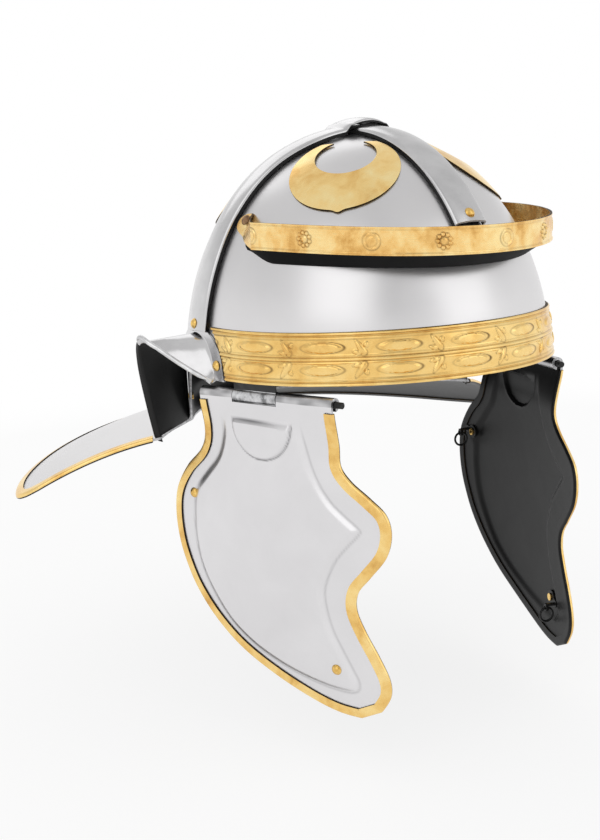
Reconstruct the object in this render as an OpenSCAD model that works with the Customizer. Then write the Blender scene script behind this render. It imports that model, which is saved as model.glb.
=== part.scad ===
// Imperial gallic helmet: an iron bowl with crossed bands, brass trim, a brow guard, ear guards,
// a broad neck guard and two hinged cheek guards that carry tie rings.
// Millimetres. +Z is up, the brow faces -Y, the wearer's left is +X.
// The origin is the middle of the head opening at the level of the rim above the ears.
// Places on the bowl are given by a bearing, measured from the brow towards the wearer's right ear,
// a height, and a stand-off from the outer face of the bowl.

/* [Bowl] */
// Length of the bowl from brow to nape
bowl_length = 221; // [210:1:235]
// Width of the bowl from ear to ear
bowl_width = 203; // [194:1:214]
// Height of the crown above the rim
crown_height = 126; // [116:1:136]
// Depth below the rim at which the bowl is widest
waist_depth = 7.5; // [6:0.5:10]
// Fullness of the dome in profile, 2 being an ellipse
dome_fullness = 2.13; // [2:0.01:2.3]
// Thickness of the steel sheet
steel_sheet = 1.4; // [1.1:0.1:1.7]
// Rise of the rim at the brow
brow_rise = 2.5; // [0:0.5:5]
// Drop of the bowl behind, from the rim to the neck guard
neck_drop = 34; // [28:1:40]
// Height of the cut-out over each ear
ear_rise = 13; // [8:1:16]
// Height of the two embossed ribs at the nape
nape_rib = 2.4; // [1:0.1:3]

/* [Brass trim] */
// Thickness of the brass sheet
brass_sheet = 0.9; // [0.6:0.1:1.2]
// Height of the brass band round the rim
rim_band_height = 27; // [22:1:30]
// Radius of each crescent
crescent_radius = 30; // [26:0.5:30.5]
// Radius of the hollow in each crescent
crescent_hollow = 16.5; // [12:0.5:17.5]

/* [Cross bands] */
// Width of the two crossed bands
band_width = 21; // [16:0.5:24]
// Height of the bands above the bowl
band_height = 4.6; // [3.6:0.1:6]
// Height above the rim at which the side ends of the band stop
side_band_end = 23.5; // [22:0.5:30]
// Backward lean of the side band
side_band_lean = 11.5; // [9:0.5:12]

/* [Brow guard] */
// Height of the brow guard's brass facing
facing_height = 14; // [10:0.5:16]
// Height of the facing's lower edge above the rim, at the temples
facing_level = 69; // [66:1:72]
// Dip of the facing from the temples to the middle of the brow
facing_dip = 5; // [0:0.5:7]
// Reach of the brow guard in front of the bowl
brow_reach = 22.5; // [18:0.5:28]
// Reach of the brow guard beside the bowl
brow_side_reach = 5.5; // [3:0.5:7]

/* [Ear guards] */
// Width of the foot strip round each ear
ear_foot = 8; // [7.5:0.5:9]
// Reach of the ear guard from the bowl
ear_reach = 30; // [24:1:34]
// Width of the turned lip
ear_lip = 3.6; // [2.5:0.1:4.5]

/* [Neck guard] */
// Reach of the neck guard behind the bowl
neck_reach = 80; // [70:1:90]
// Reach of the neck guard's wings beside the bowl
wing_reach = 102; // [88:1:110]
// Fall of the neck guard at its rear edge
neck_fall = 18; // [10:1:24]
// Fall of the neck guard at its wings
wing_fall = 34; // [26:1:40]

/* [Cheek guards] */
// Length of a cheek guard from its hinge to its tip
cheek_length = 167.5; // [150:0.5:178]
// Width of a cheek guard at its hinge
cheek_width = 88; // [80:1:94]
// Height of the raised field of a cheek guard
field_rise = 1.8; // [1:0.1:2.4]
// Outward curve of a cheek guard
cheek_bulge = 5; // [2:0.5:8]
// Inward set of a cheek guard's sheet below its hinge, which brings its weight under the pin
cheek_inset = 3.56; // [2:0.01:4.5]
// Angle of a cheek guard about its pin as it hangs at rest
hang_angle = 0; // [-4:0.01:4]

/* [Hinges] */
// Radius of the hinge pin
pin_radius = 1.7; // [1.5:0.1:1.8]
// Outer radius of the hinge knuckles
knuckle_radius = 3.7; // [3.4:0.1:4]
// Running clearance between pin and knuckle
pin_clearance = 0.06; // [0.04:0.01:0.1]
// Length of the middle knuckle
middle_knuckle = 29; // [24:1:32]
// Turn of the hinge from straight ahead
hinge_turn = 16.7; // [14:0.1:19]
// Depth of the hinge pin below the rim
hinge_depth = 7.7; // [7:0.1:9]

/* [Edging and rivets] */
// Cover of the brass edging over the sheet
edging_cover = 4.6; // [3:0.1:6]
// Radius of the rivet heads
rivet_head = 2.9; // [2.4:0.1:3.4]
// Radius of the rivet shanks
rivet_shank = 1.4; // [1.2:0.1:1.6]

/* [Tie rings] */
// Radius of a tie ring, to the middle of its wire
ring_radius = 4.2; // [3.9:0.1:4.8]
// Radius of the ring wire
ring_wire = 0.7; // [0.6:0.05:0.85]

/* [Hidden] */
seat = 0.3;          // stand-off of a piece from the curved face that carries it
band_seat = 0.45;    // the same for the crossed bands
touch = 0.1;         // stand-off between faces that lie together
edge_fit = 0.25;     // stand-off of the edging from the sheet that it folds over
edging_sheet = 0.6;  // thickness of the edging
tail_gap = 0.5;      // gap between a rivet's tail and the curved sheet
hole_fit = 0.05;     // radial clearance of a rivet in its hole
ring_fit = 0.5;      // radial clearance of a ring wire in its eye
$fn = 48;

bowl_a = bowl_length / 2;
bowl_b = bowl_width / 2;
dome_height = crown_height + waist_depth;
waist = -waist_depth;
trim_top = rim_band_height;
ear_front = 93;      // bearing where the cut-out over the ear starts
ear_top_front = 101; // bearings between which the cut-out is level
ear_top_back = 108;
ear_back = 124;      // bearing where the wall reaches its full drop
rivet_dome = rivet_head * 0.62;
rivet_tail = rivet_shank + 0.8;
rivet_tail_height = 0.8;

// Smooth step from 0 to 1
function ease(t) = let (c = min(1, max(0, t))) c * c * (3 - 2 * c);
function unit(v) = v / norm(v);
function lerp(a, b, t) = a + (b - a) * t;

// Point at t, from 0 to 1, on a smooth curve through the points
function along(points, t) =
    let (
        last = len(points) - 1,
        s = min(last - 0.00001, max(0, t * last)),
        i = floor(s),
        f = s - i,
        a = points[max(0, i - 1)],
        b = points[i],
        c = points[i + 1],
        d = points[min(last, i + 2)]
    )
    0.5 * (2 * b + (c - a) * f + (2 * a - 5 * b + 4 * c - d) * f * f + (3 * b - a - 3 * c + d) * f * f * f);

// Share of the full plan radius that the bowl has at a height
function level_share(z, out) =
    z <= waist ? 1 : pow(max(0, 1 - pow((z - waist) / (dome_height + out), dome_fullness)), 1 / dome_fullness);

// Point on the bowl at a bearing and a height
function at_level(bearing, z, out = 0) =
    let (share = level_share(z, out))
    [-(bowl_b + out) * share * sin(bearing), -(bowl_a + out) * share * cos(bearing), z];

// Point beside the bowl at a level stand-off from its wall
function beside(bearing, z, away) =
    let (share = level_share(z, 0))
    [-(bowl_b * share + away) * sin(bearing), -(bowl_a * share + away) * cos(bearing), z];

// Point where a ray from the middle of the waist meets the dome
function on_dome(ray, out = 0) =
    let (
        flat = pow(norm([ray.x / (bowl_b + out), ray.y / (bowl_a + out)]), dome_fullness),
        tall = pow(abs(ray.z) / (dome_height + out), dome_fullness)
    )
    ray * pow(flat + tall, -1 / dome_fullness) + [0, 0, waist];

// Outward normal of the bowl at a point on it
function dome_normal(p) =
    let (
        flat = norm([p.x / bowl_b, p.y / bowl_a]),
        rise = max(0, (p.z - waist) / dome_height),
        side = pow(max(flat, 0.001), dome_fullness - 2)
    )
    unit([
        side * p.x / (bowl_b * bowl_b),
        side * p.y / (bowl_a * bowl_a),
        pow(rise, dome_fullness - 1) / dome_height
    ]);

// Height of the bowl's lower edge at a bearing
function rim_level(bearing) =
    let (b = abs(bearing))
    brow_rise * pow(max(0, cos(b)), 2)
    + ear_rise * ease((b - ear_front) / (ear_top_front - ear_front))
    - (ear_rise + neck_drop) * ease((b - ear_top_back) / (ear_back - ear_top_back));

// Stand-off of the two ribs embossed across the nape
function nape_bulge(bearing, z) =
    nape_rib * ease((abs(bearing) - ear_back - 4) / 16)
    * (z < 0 && z > -neck_drop ? pow(sin(360 * z / neck_drop), 2) : 0);

// Closed solid between two grids of points; the second lies on the side that rows x columns points to
module between(front, back, ring = false) {
    rows = len(front);
    cols = len(front[0]);
    span = ring ? cols : cols - 1;
    half = rows * cols;
    points = concat([for (r = front) each r], [for (r = back) each r]);
    function f(i, j) = i * cols + j % cols;
    function b(i, j) = half + f(i, j);
    skins = [for (i = [0:rows - 2]) for (j = [0:span - 1]) each [
        [f(i, j), f(i + 1, j), f(i, j + 1)],
        [f(i + 1, j), f(i + 1, j + 1), f(i, j + 1)],
        [b(i, j), b(i, j + 1), b(i + 1, j)],
        [b(i + 1, j), b(i, j + 1), b(i + 1, j + 1)]
    ]];
    row_ends = [for (j = [0:span - 1]) each [
        [f(0, j), f(0, j + 1), b(0, j + 1)],
        [f(0, j), b(0, j + 1), b(0, j)],
        [f(rows - 1, j), b(rows - 1, j + 1), f(rows - 1, j + 1)],
        [f(rows - 1, j), b(rows - 1, j), b(rows - 1, j + 1)]
    ]];
    col_ends = ring ? [] : [for (i = [0:rows - 2]) each [
        [f(i, 0), b(i, 0), b(i + 1, 0)],
        [f(i, 0), b(i + 1, 0), f(i + 1, 0)],
        [f(i, cols - 1), b(i + 1, cols - 1), b(i, cols - 1)],
        [f(i, cols - 1), f(i + 1, cols - 1), b(i + 1, cols - 1)]
    ]];
    polyhedron(points, concat(skins, row_ends, col_ends));
}

// Normal of a grid of points at one of them
function grid_normal(grid, i, j) =
    let (
        down = grid[min(len(grid) - 1, i + 1)][j] - grid[max(0, i - 1)][j],
        across = grid[i][min(len(grid[0]) - 1, j + 1)] - grid[i][max(0, j - 1)]
    )
    unit(cross(down, across));
function thickened(grid, thickness) =
    [for (i = [0:len(grid) - 1]) [for (j = [0:len(grid[0]) - 1]) grid[i][j] + thickness * grid_normal(grid, i, j)]];

// Stands its children at a point, with +Z along a direction
module stand_at(p, direction) {
    translate(p)
        rotate([0, acos(unit(direction).z), atan2(direction.y, direction.x)])
            children();
}

// Domed rivet: the head sits at the origin, the shank runs down through the grip
module rivet(grip, tail = true) {
    rotate_extrude() {
        intersection() {
            rivet_cap();
            square([rivet_head + 1, rivet_dome + 1]);
        }
        translate([0, -grip - (tail ? rivet_tail_height : 0)])
            square([rivet_shank, grip + (tail ? rivet_tail_height : 0) + rivet_dome / 2]);
        if (tail)
            translate([0, -grip - rivet_tail_height])
                square([rivet_tail, rivet_tail_height]);
    }
}
// Round section whose cap above the axis is the rivet's head
module rivet_cap() {
    ball = (rivet_head * rivet_head + rivet_dome * rivet_dome) / (2 * rivet_dome);
    translate([0, rivet_dome - ball])
        circle(ball);
}
// Hole for a rivet at the origin, along Z
module rivet_hole(depth) {
    translate([0, 0, -depth])
        cylinder(r = rivet_shank + hole_fit, h = 2 * depth);
}

// Bowl

low_rows = [0, 0.082, 0.164, 0.246, 0.328, 0.41, 0.49, 0.6, 1];
high_rows = 8;
bowl_right = concat([for (a = [0:8:88]) a], [for (a = [93:4:125]) a], [for (a = [132:8:172]) a]);
bowl_bearings = concat(bowl_right, [180], [for (i = [len(bowl_right) - 1:-1:1]) -bowl_right[i]]);

function bowl_row_level(bearing, row, out) =
    row < len(low_rows)
    ? lerp(rim_level(bearing), trim_top + 2, low_rows[row])
    : lerp(trim_top + 2, crown_height + out, sin(90 * (row - len(low_rows) + 1) / high_rows));
function bowl_grid(out) =
    [for (row = [0:len(low_rows) + high_rows - 2]) [for (a = bowl_bearings)
        let (z = bowl_row_level(a, row, out))
        at_level(a, z, out + nape_bulge(a, z))]];

module bowl_shell() {
    inner = bowl_grid(-steel_sheet);
    outer = bowl_grid(0);
    rows = len(outer);
    cols = len(outer[0]);
    half = rows * cols;
    top = 2 * half;
    function f(i, j) = i * cols + j % cols;
    function b(i, j) = half + f(i, j);
    points = concat(
        [for (r = inner) each r],
        [for (r = outer) each r],
        [[0, 0, crown_height - steel_sheet], [0, 0, crown_height]]
    );
    walls = [for (i = [0:rows - 2]) for (j = [0:cols - 1]) each [
        [f(i, j), f(i + 1, j), f(i, j + 1)],
        [f(i + 1, j), f(i + 1, j + 1), f(i, j + 1)],
        [b(i, j), b(i, j + 1), b(i + 1, j)],
        [b(i + 1, j), b(i, j + 1), b(i + 1, j + 1)]
    ]];
    ends = [for (j = [0:cols - 1]) each [
        [f(0, j), f(0, j + 1), b(0, j + 1)],
        [f(0, j), b(0, j + 1), b(0, j)],
        [f(rows - 1, j), top, f(rows - 1, j + 1)],
        [b(rows - 1, j), b(rows - 1, j + 1), top + 1]
    ]];
    polyhedron(points, concat(walls, ends));
}

module skull_bowl() {
    color([0.78, 0.79, 0.8])
        difference() {
            bowl_shell();
            for (k = [0:3]) at_band_rivet(k) rivet_hole(12);
            for (s = [1, -1]) at_brow_rivet(s) rivet_hole(12);
            for (s = [1, -1]) for (k = [0, 1]) at_ear_rivet(s, k) rivet_hole(8);
            for (s = [1, -1]) for (k = [0, 1]) at_plate_rivet(s, k) rivet_hole(6);
        }
}

// Crossed bands

front_band_tilt = 47;     // angle from the crown at which the band stops above the brow guard
rear_band_tilt = -73;     // the same behind
band_edge = 1.4;
front_rivet_inset = 2.5;  // degrees from the front end to its rivet
rear_rivet_inset = 4.2;   // the same behind
side_band_tilt = atan2(bowl_b * level_share(side_band_end, 0), side_band_end - waist);
side_rivet_inset = 2.4;   // the same for the side band
// Share of the side band's lean at even steps of tilt, from the crown to its ends
lean_course = [-0.03, 0.12, 0.5, 0.74, 0.88, 0.98, 1];
lean_span = 78;
bridge = band_height + seat;
bridge_ramp = 8.5;
bridge_swell = 0.8;       // extra height in the middle of the crossing

function dome_radius(ray) = norm(on_dome(ray) - [0, 0, waist]);
function fore_aft_ray(tilt) = [0, -sin(tilt), cos(tilt)];
function side_ray(tilt) =
    [-sin(tilt), tan(side_band_lean) * along(lean_course, abs(tilt) / lean_span), cos(tilt)];
// Points across a band: distance from its middle line and height above the bowl
function band_section(inner) =
    let (t = inner ? steel_sheet - 0.2 : 0, w = band_width / 2 - t, h = band_height - t, e = band_edge - t / 2)
    [[w, band_seat], [w, h - e], [w - e, h], [e - w, h], [-w, h - e], [-w, band_seat]];
function over_ear_strip(tilt) =
    (steel_sheet + seat) * ease((abs(tilt) - side_band_tilt + 9) / 3);
function crossing_lift(tilt) =
    let (x = dome_radius(side_ray(tilt)) * sin(abs(tilt)))
    bridge * ease((band_width / 2 + 1 + bridge_ramp - x) / bridge_ramp)
    + bridge_swell * max(0, 1 - pow(2 * x / band_width, 2));

module band(stations, inner, outer) {
    between([for (t = stations) inner(t)], [for (t = stations) outer(t)]);
}
function fore_aft_row(tilt, inner) =
    [for (p = band_section(inner))
        on_dome(fore_aft_ray(tilt) + [p.x, 0, 0] / dome_radius(fore_aft_ray(tilt)), p.y)];
function side_row(tilt, inner) =
    [for (p = band_section(inner))
        let (lift = crossing_lift(tilt) + (p.y == band_seat ? over_ear_strip(tilt) : 0))
        on_dome(side_ray(tilt) + [0, p.x, 0] / dome_radius(side_ray(tilt)), p.y + lift)];
fore_aft_stations = [for (i = [0:22]) lerp(front_band_tilt, rear_band_tilt, i / 22)];
side_half = concat([0, 2.4, 4.6], [for (i = [0:4]) 5 + i * 0.95], [for (i = [0:8]) lerp(12, side_band_tilt, i / 8)]);
side_stations = concat([for (i = [len(side_half) - 1:-1:1]) -side_half[i]], side_half);

module fore_aft_band() {
    color([0.8, 0.81, 0.82])
        difference() {
            band(fore_aft_stations, function(t) fore_aft_row(t, true), function(t) fore_aft_row(t, false));
            for (k = [0, 1]) at_band_rivet(k) rivet_hole(8);
        }
}
module side_band() {
    color([0.8, 0.81, 0.82])
        difference() {
            band(side_stations, function(t) side_row(t, true), function(t) side_row(t, false));
            for (k = [2, 3]) at_band_rivet(k) rivet_hole(8);
        }
}
band_rivet_rays = [
    fore_aft_ray(front_band_tilt - front_rivet_inset), fore_aft_ray(rear_band_tilt + rear_rivet_inset),
    side_ray(side_band_tilt - side_rivet_inset), side_ray(side_rivet_inset - side_band_tilt)
];
module at_band_rivet(k) {
    p = on_dome(band_rivet_rays[k], 0);
    n = dome_normal(p);
    stand_at(p + n * (band_height + touch), n) children();
}
module band_rivets() {
    color([0.85, 0.66, 0.3])
        for (k = [0:3]) at_band_rivet(k) rivet(band_height + touch + steel_sheet + tail_gap);
}

// Crescents

// Angle from the crown and bearing of the middles of the front and rear crescents
crescent_front = [27, 46.5];
crescent_rear = [31.5, 141];
hollow_offset = 10.5;      // offset of the hollow towards the crown
horn_angle = 150;          // angle from the crescent's foot to its horns
crescent_steps = 19;

module crescent(side, place) {
    tilt = place.x;
    bearing = place.y * side;
    middle = [-sin(tilt) * sin(bearing), -sin(tilt) * cos(bearing), cos(tilt)];
    up = unit([0, 0, 1] - middle * middle.z);
    aside = cross(up, middle);
    reach = dome_radius(middle);
    function spot(p, out) = on_dome(middle + (aside * p.x + up * p.y) / reach, out);
    function rim_point(angle) = crescent_radius * [sin(angle), -cos(angle)];
    function hollow_point(angle) = [0, hollow_offset] + crescent_hollow * [sin(angle), -cos(angle)];
    function row(angle, out) = [for (s = [0, 0.5, 1]) spot(lerp(rim_point(angle), hollow_point(angle), s), out)];
    angles = [for (i = [0:crescent_steps]) lerp(-horn_angle, horn_angle, i / crescent_steps)];
    color([0.88, 0.7, 0.33])
        between([for (a = angles) row(a, seat)], [for (a = angles) row(a, seat + brass_sheet)]);
}

// Rim band

// Bearings at which the band stops in front of the ear guards, at its foot, its middle and its top
rim_ends = [85.2, 87.6, 93.4];
moulding = 0.9;
rim_steps = 30;
// Height as a share of the band, and stand-off of its face beyond the plain sheet
rim_profile = [[0, 0.4], [0.06, 1], [0.13, 0], [0.44, 0], [0.5, 0.8], [0.56, 0], [0.87, 0], [0.94, 1], [1, 0.4]];

module rim_band() {
    function end(share) = share < 0.5
        ? lerp(rim_ends[0], rim_ends[1], 2 * share)
        : lerp(rim_ends[1], rim_ends[2], 2 * share - 1);
    function rim_point(share, i, out) =
        let (a = end(share) * (2 * i / rim_steps - 1))
        at_level(a, rim_level(a) + share * rim_band_height, out);
    inner = [for (p = rim_profile) [for (i = [0:rim_steps]) rim_point(p.x, i, seat)]];
    outer = [for (p = rim_profile) [for (i = [0:rim_steps])
        rim_point(p.x, i, seat + brass_sheet + moulding * p.y)]];
    color([0.88, 0.7, 0.33])
        between(inner, outer);
}

// Brow guard

facing_end = 84;           // bearing at which the facing meets its tabs
shelf_end = facing_end - 1;
root_level = facing_level - 7;
tab_reach = 9.5;           // degrees of bearing covered by a tab
brow_rivet_bearing = 89.2;
brow_rivet_level = facing_level + facing_height - 0.8;
brow_steps = 26;

// Level stand-off of the facing from the wall of the bowl
function brow_away(bearing) = lerp(brow_side_reach, brow_reach, pow(cos(bearing), 2));
function brow_dip(bearing) = facing_dip * pow(cos(bearing), 2);
function facing_point(bearing, z, more = 0) =
    let (p = beside(bearing, facing_level, brow_away(bearing) + more))
    [p.x, p.y, z - brow_dip(bearing)];
function root_height(bearing) =
    lerp(facing_level - 1, root_level, ease((facing_end - abs(bearing)) / 14)) - brow_dip(bearing);

module brow_guard() {
    bearings = [for (i = [0:brow_steps]) lerp(-shelf_end, shelf_end, i / brow_steps)];
    shelf = [for (s = [0, 0.5, 1]) [for (a = bearings)
        lerp(at_level(a, root_height(a), seat), facing_point(a, facing_level + 1, -seat), s)]];
    color([0.72, 0.73, 0.74])
        between([for (row = shelf) [for (p = row) p + [0, 0, steel_sheet]]], shelf);
}

facing_profile = [[0, 0.5], [0.1, 0.5], [0.14, 0], [0.86, 0], [0.9, 0.5], [1, 0.5]];
module brow_guard_facing() {
    bearings = [for (i = [0:brow_steps]) lerp(-facing_end, facing_end, i / brow_steps)];
    function height(share) = facing_level + share * facing_height;
    inner = [for (p = facing_profile) [for (a = bearings) facing_point(a, height(p.x))]];
    outer = [for (p = facing_profile) [for (a = bearings) facing_point(a, height(p.x), brass_sheet + p.y)]];
    color([0.88, 0.7, 0.33])
        difference() {
            union() {
                between(inner, outer);
                for (s = [1, -1]) facing_tab(s);
            }
            for (s = [1, -1]) at_brow_rivet(s) rivet_hole(8);
        }
}
// Tab that folds from the end of the facing onto the bowl
module facing_tab(side) {
    // Share of the tab's reach, then the heights of its lower and upper edges
    stages = [[0, 0, facing_height], [0.3, 3, facing_height + 3.4], [0.75, 7, facing_height + 3.2],
        [1, 10, facing_height + 0.6]];
    shares = [0, 0.5, 1];
    function tab_point(stage, share, out) =
        let (
            z = facing_level + lerp(stage.y, stage.z, share),
            bearing = facing_end + stage.x * tab_reach
        )
        stage.x == 0 ? facing_point(side * (facing_end - 0.3), z, out) : at_level(side * bearing, z, seat + out);
    low = [for (t = shares) [for (g = stages) tab_point(g, t, 0)]];
    high = [for (t = shares) [for (g = stages) tab_point(g, t, brass_sheet)]];
    if (side > 0) between(low, high);
    else between(high, low);
}
module at_brow_rivet(side) {
    p = at_level(side * brow_rivet_bearing, brow_rivet_level);
    n = dome_normal(p);
    stand_at(p + n * (seat + brass_sheet + touch), n) children();
}
module brow_guard_rivets() {
    color([0.55, 0.4, 0.3])
        for (s = [1, -1]) at_brow_rivet(s) rivet(seat + brass_sheet + touch + steel_sheet + tail_gap);
}

// Ear guards

// Places on the wearer's right: bearing and height, or bearing, stand-off and height
ear_root = [[90.5, -1], [93, 12], [98, 19.5], [106, 20.5], [114, 12], [120, -8], [123, -neck_drop + 0.6]];
ear_edge_angle = ear_foot / bowl_b * 180 / PI;
ear_edge = [
    [90.5 - ear_edge_angle, -1], [93 - ear_edge_angle, 15], [96.5, 19 + ear_foot * 0.7], [106, 20.5 + ear_foot * 0.62],
    [117.5, 17], [120 + ear_edge_angle, -6], [123 + ear_edge_angle, -neck_drop + 0.6]
];
// Share of the ear guard's reach at each place along its lip
ear_lip_line = [[90, 0.18, -3], [97, 0.42, 6], [102.5, 0.75, 14.5], [105.5, 1.01, 18], [106.5, 1, 8],
    [107, 0.87, -14], [107.5, 0.7, -neck_drop - 5]];
ear_steps = 24;

function ear_row(t, out) =
    let (
        edge = along(ear_edge, t),
        root = along(ear_root, t),
        lip = along(ear_lip_line, t),
        root_point = at_level(root.x, root.y, seat),
        plan = beside(lip.x, 0, lip.y * ear_reach),
        lip_point = [plan.x, plan.y, max(lip.z, neck_level(plan) + 0.7)]
    )
    [
        at_level(edge.x, edge.y, seat),
        at_level(lerp(edge.x, root.x, 0.9), lerp(edge.y, root.y, 0.9), seat),
        lerp(root_point, lip_point, 0.12),
        lerp(root_point, lip_point, 0.55),
        lip_point
    ];
module ear_guard(side) {
    flange = [for (i = [0:ear_steps]) ear_row(i / ear_steps)];
    outward = [for (i = [0:ear_steps]) grid_normal(flange, i, len(flange[0]) - 1)];
    turned = [for (i = [0:ear_steps]) concat(flange[i], [flange[i][4] + outward[i] * ear_lip])];
    color([0.76, 0.77, 0.78])
        mirror([side > 0 ? 0 : 1, 0, 0])
            difference() {
                between(turned, thickened(turned, steel_sheet - 0.2));
                for (k = [0, 1]) at_ear_rivet(1, k) rivet_hole(8);
                at_band_rivet(2) rivet_hole(12);
            }
}
ear_rivet_places = [[along(ear_root, 0.1).x - ear_edge_angle / 2, 7], [124.2, -20]];
module at_ear_rivet(side, k) {
    p = at_level(side * ear_rivet_places[k].x, ear_rivet_places[k].y);
    n = dome_normal(p);
    stand_at(p + n * (seat + steel_sheet + touch), n) children();
}
module ear_guard_rivets() {
    color([0.85, 0.66, 0.3])
        for (s = [1, -1]) for (k = [0, 1]) at_ear_rivet(s, k) rivet(seat + 2 * steel_sheet + touch + tail_gap);
}

// Neck guard

// Bearing and share of the reach, from the middle of the rear edge to the wearer's right front corner
neck_outline = [[180, 1], [161, 1.02], [146, 1], [133, 1], [122.5, 1.01], [116, 1], [113.3, 0.955], [112.1, 0.88]];
// Bearing and stand-off of the inner edge at the same places; the last lies at the foot of the ear guard
neck_root = [[180, 0], [161, 0], [146, 0], [133, 0], [126, 0.4], [120, 4], [113, 13], [107.3, 21]];
neck_steps = 34;
neck_rows = [0, 0.25, 0.5, 0.75, 0.93, 1];
neck_stations = [for (i = [-neck_steps / 2:neck_steps / 2]) 2 * i / neck_steps];
neck_sweep = 1.8;

function side_of(s) = s < 0 ? -1 : 1;
function wing_share(bearing) = ease((180 - bearing) / 60);
// Height of the neck guard's upper face at a place in plan
neck_slope = neck_fall / pow(neck_reach / bowl_a, neck_sweep);
wing_slope = wing_fall / pow(wing_reach / bowl_b, neck_sweep);
function neck_level(p) =
    let (
        beyond = max(0, norm([p.x / bowl_b, p.y / bowl_a]) - 1),
        slope = lerp(neck_slope, wing_slope, pow(min(1, abs(p.x) / (bowl_b + 0.8 * wing_reach)), 2))
    )
    -neck_drop - touch - slope * pow(beyond, neck_sweep);
function neck_edge(s) =
    let (place = along(neck_outline, abs(s)))
    beside(side_of(s) * place.x, 0, lerp(neck_reach, wing_reach, wing_share(place.x)) * place.y);
function neck_inner(s) =
    let (place = along(neck_root, abs(s)))
    beside(side_of(s) * place.x, 0, place.y - steel_sheet * ease(1 - place.y / 2));
function neck_point(s, share) =
    let (plan = lerp(neck_inner(s), neck_edge(s), share))
    [plan.x, plan.y, neck_level(plan)];
neck_grid = [for (share = neck_rows) [for (s = neck_stations) neck_point(s, share)]];

module neck_guard() {
    lower = [for (row = neck_grid) [for (p = row) p - [0, 0, steel_sheet]]];
    color([0.8, 0.81, 0.82])
        between(lower, neck_grid);
}

// Folded brass channel along an edge: the edge points, the directions into the sheet, the sheet normals
// and the drift of the sheet between its edge and the inner border of the channel
module edge_channel(edge, inward, normal, sheet_thickness, drift) {
    h = sheet_thickness / 2 + edge_fit;
    function station(i, out) =
        let (
            middle = edge[i] - normal[i] * sheet_thickness / 2,
            border = middle + inward[i] * edging_cover + drift(i),
            fold = middle - inward[i] * (edge_fit + out),
            up = normal[i] * (h + out)
        )
        [border + up, fold + up, fold - up, border - up];
    between(
        [for (i = [0:len(edge) - 1]) station(i, 0)],
        [for (i = [0:len(edge) - 1]) station(i, edging_sheet)]
    );
}

// Marks along each front edge, from the ear guard outwards
front_marks = [0.2, 0.34, 0.48, 0.62, 0.76, 0.9];
module neck_guard_edging() {
    edge = concat(
        [for (t = front_marks) neck_point(1, t)],
        [for (i = [neck_steps:-1:0]) neck_point(neck_stations[i], 1)],
        [for (i = [len(front_marks) - 1:-1:0]) neck_point(-1, front_marks[i])]
    );
    last = len(edge) - 1;
    course = [for (i = [0:last]) unit(edge[min(last, i + 1)] - edge[max(0, i - 1)])];
    inward = [for (i = [0:last])
        let (q = edge[i] + edging_cover * unit([course[i].y, -course[i].x, 0]))
        unit([q.x, q.y, neck_level(q)] - edge[i])];
    normal = [for (i = [0:last]) [0, 0, 1]];
    color([0.88, 0.7, 0.33])
        edge_channel(edge, inward, normal, steel_sheet, function(i) [0, 0, 0]);
}

// Cheek guards, drawn in a frame on the hinge: +X forward along the pin, +Y outward, +Z up

hinge_inset = 4;
hinge_back = 33;           // distance of the hinge's middle in front of the bowl's widest line
hinge_x = bowl_b * sqrt(1 - pow(hinge_back / bowl_a, 2)) - hinge_inset;
hinge_middle = [-hinge_x, -hinge_back, -hinge_depth];
middle_knuckle_at = -6;    // middle of the bowl's knuckle along the pin
knuckle_gap = 0.4;
slot_depth = 5;
cheek_top = 1;             // outer knuckles reach this much past the sheet at each end
pin_front = 5;             // stand-out of the pin in front

module at_hinge(side) {
    mirror([side > 0 ? 0 : 1, 0, 0])
        translate(hinge_middle)
            rotate([0, 0, hinge_turn - 90])
                mirror([0, 1, 0])
                    children();
}
// The same frame turned to the angle at which the cheek guard hangs
module at_cheek(side) {
    at_hinge(side)
        rotate([hang_angle, 0, 0])
            children();
}

// Outline in shares of half the hinge's width and of the guard's length, from the hinge to the tip
half_width = cheek_width / 2;
rear_outline = [[-0.99, 0], [-1.0, 0.11], [-1.1, 0.192], [-1.39, 0.264], [-1.6, 0.345], [-1.66, 0.43],
    [-1.62, 0.525], [-1.5, 0.61], [-1.32, 0.69], [-1.02, 0.775], [-0.6, 0.855], [-0.07, 0.92], [0.48, 0.972],
    [0.86, 0.997], [1.16, 1.002]];
front_outline = [[1.01, 0], [1.0, 0.12], [1.0, 0.19], [1.14, 0.238], [1.38, 0.284], [1.58, 0.33], [1.64, 0.39],
    [1.57, 0.46], [1.36, 0.53], [1.19, 0.585], [1.16, 0.645], [1.27, 0.715], [1.43, 0.79], [1.55, 0.86],
    [1.55, 0.915], [1.43, 0.968]];
cheek_rows = 30;
field_margin = 18;         // plain margin round the raised field
field_slope = 3;
field_top = 12;            // depth below the pin at which the field starts

function cheek_edge_point(outline, t) =
    let (p = along(outline, t))
    [p.x * half_width, -p.y * cheek_length];
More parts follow.
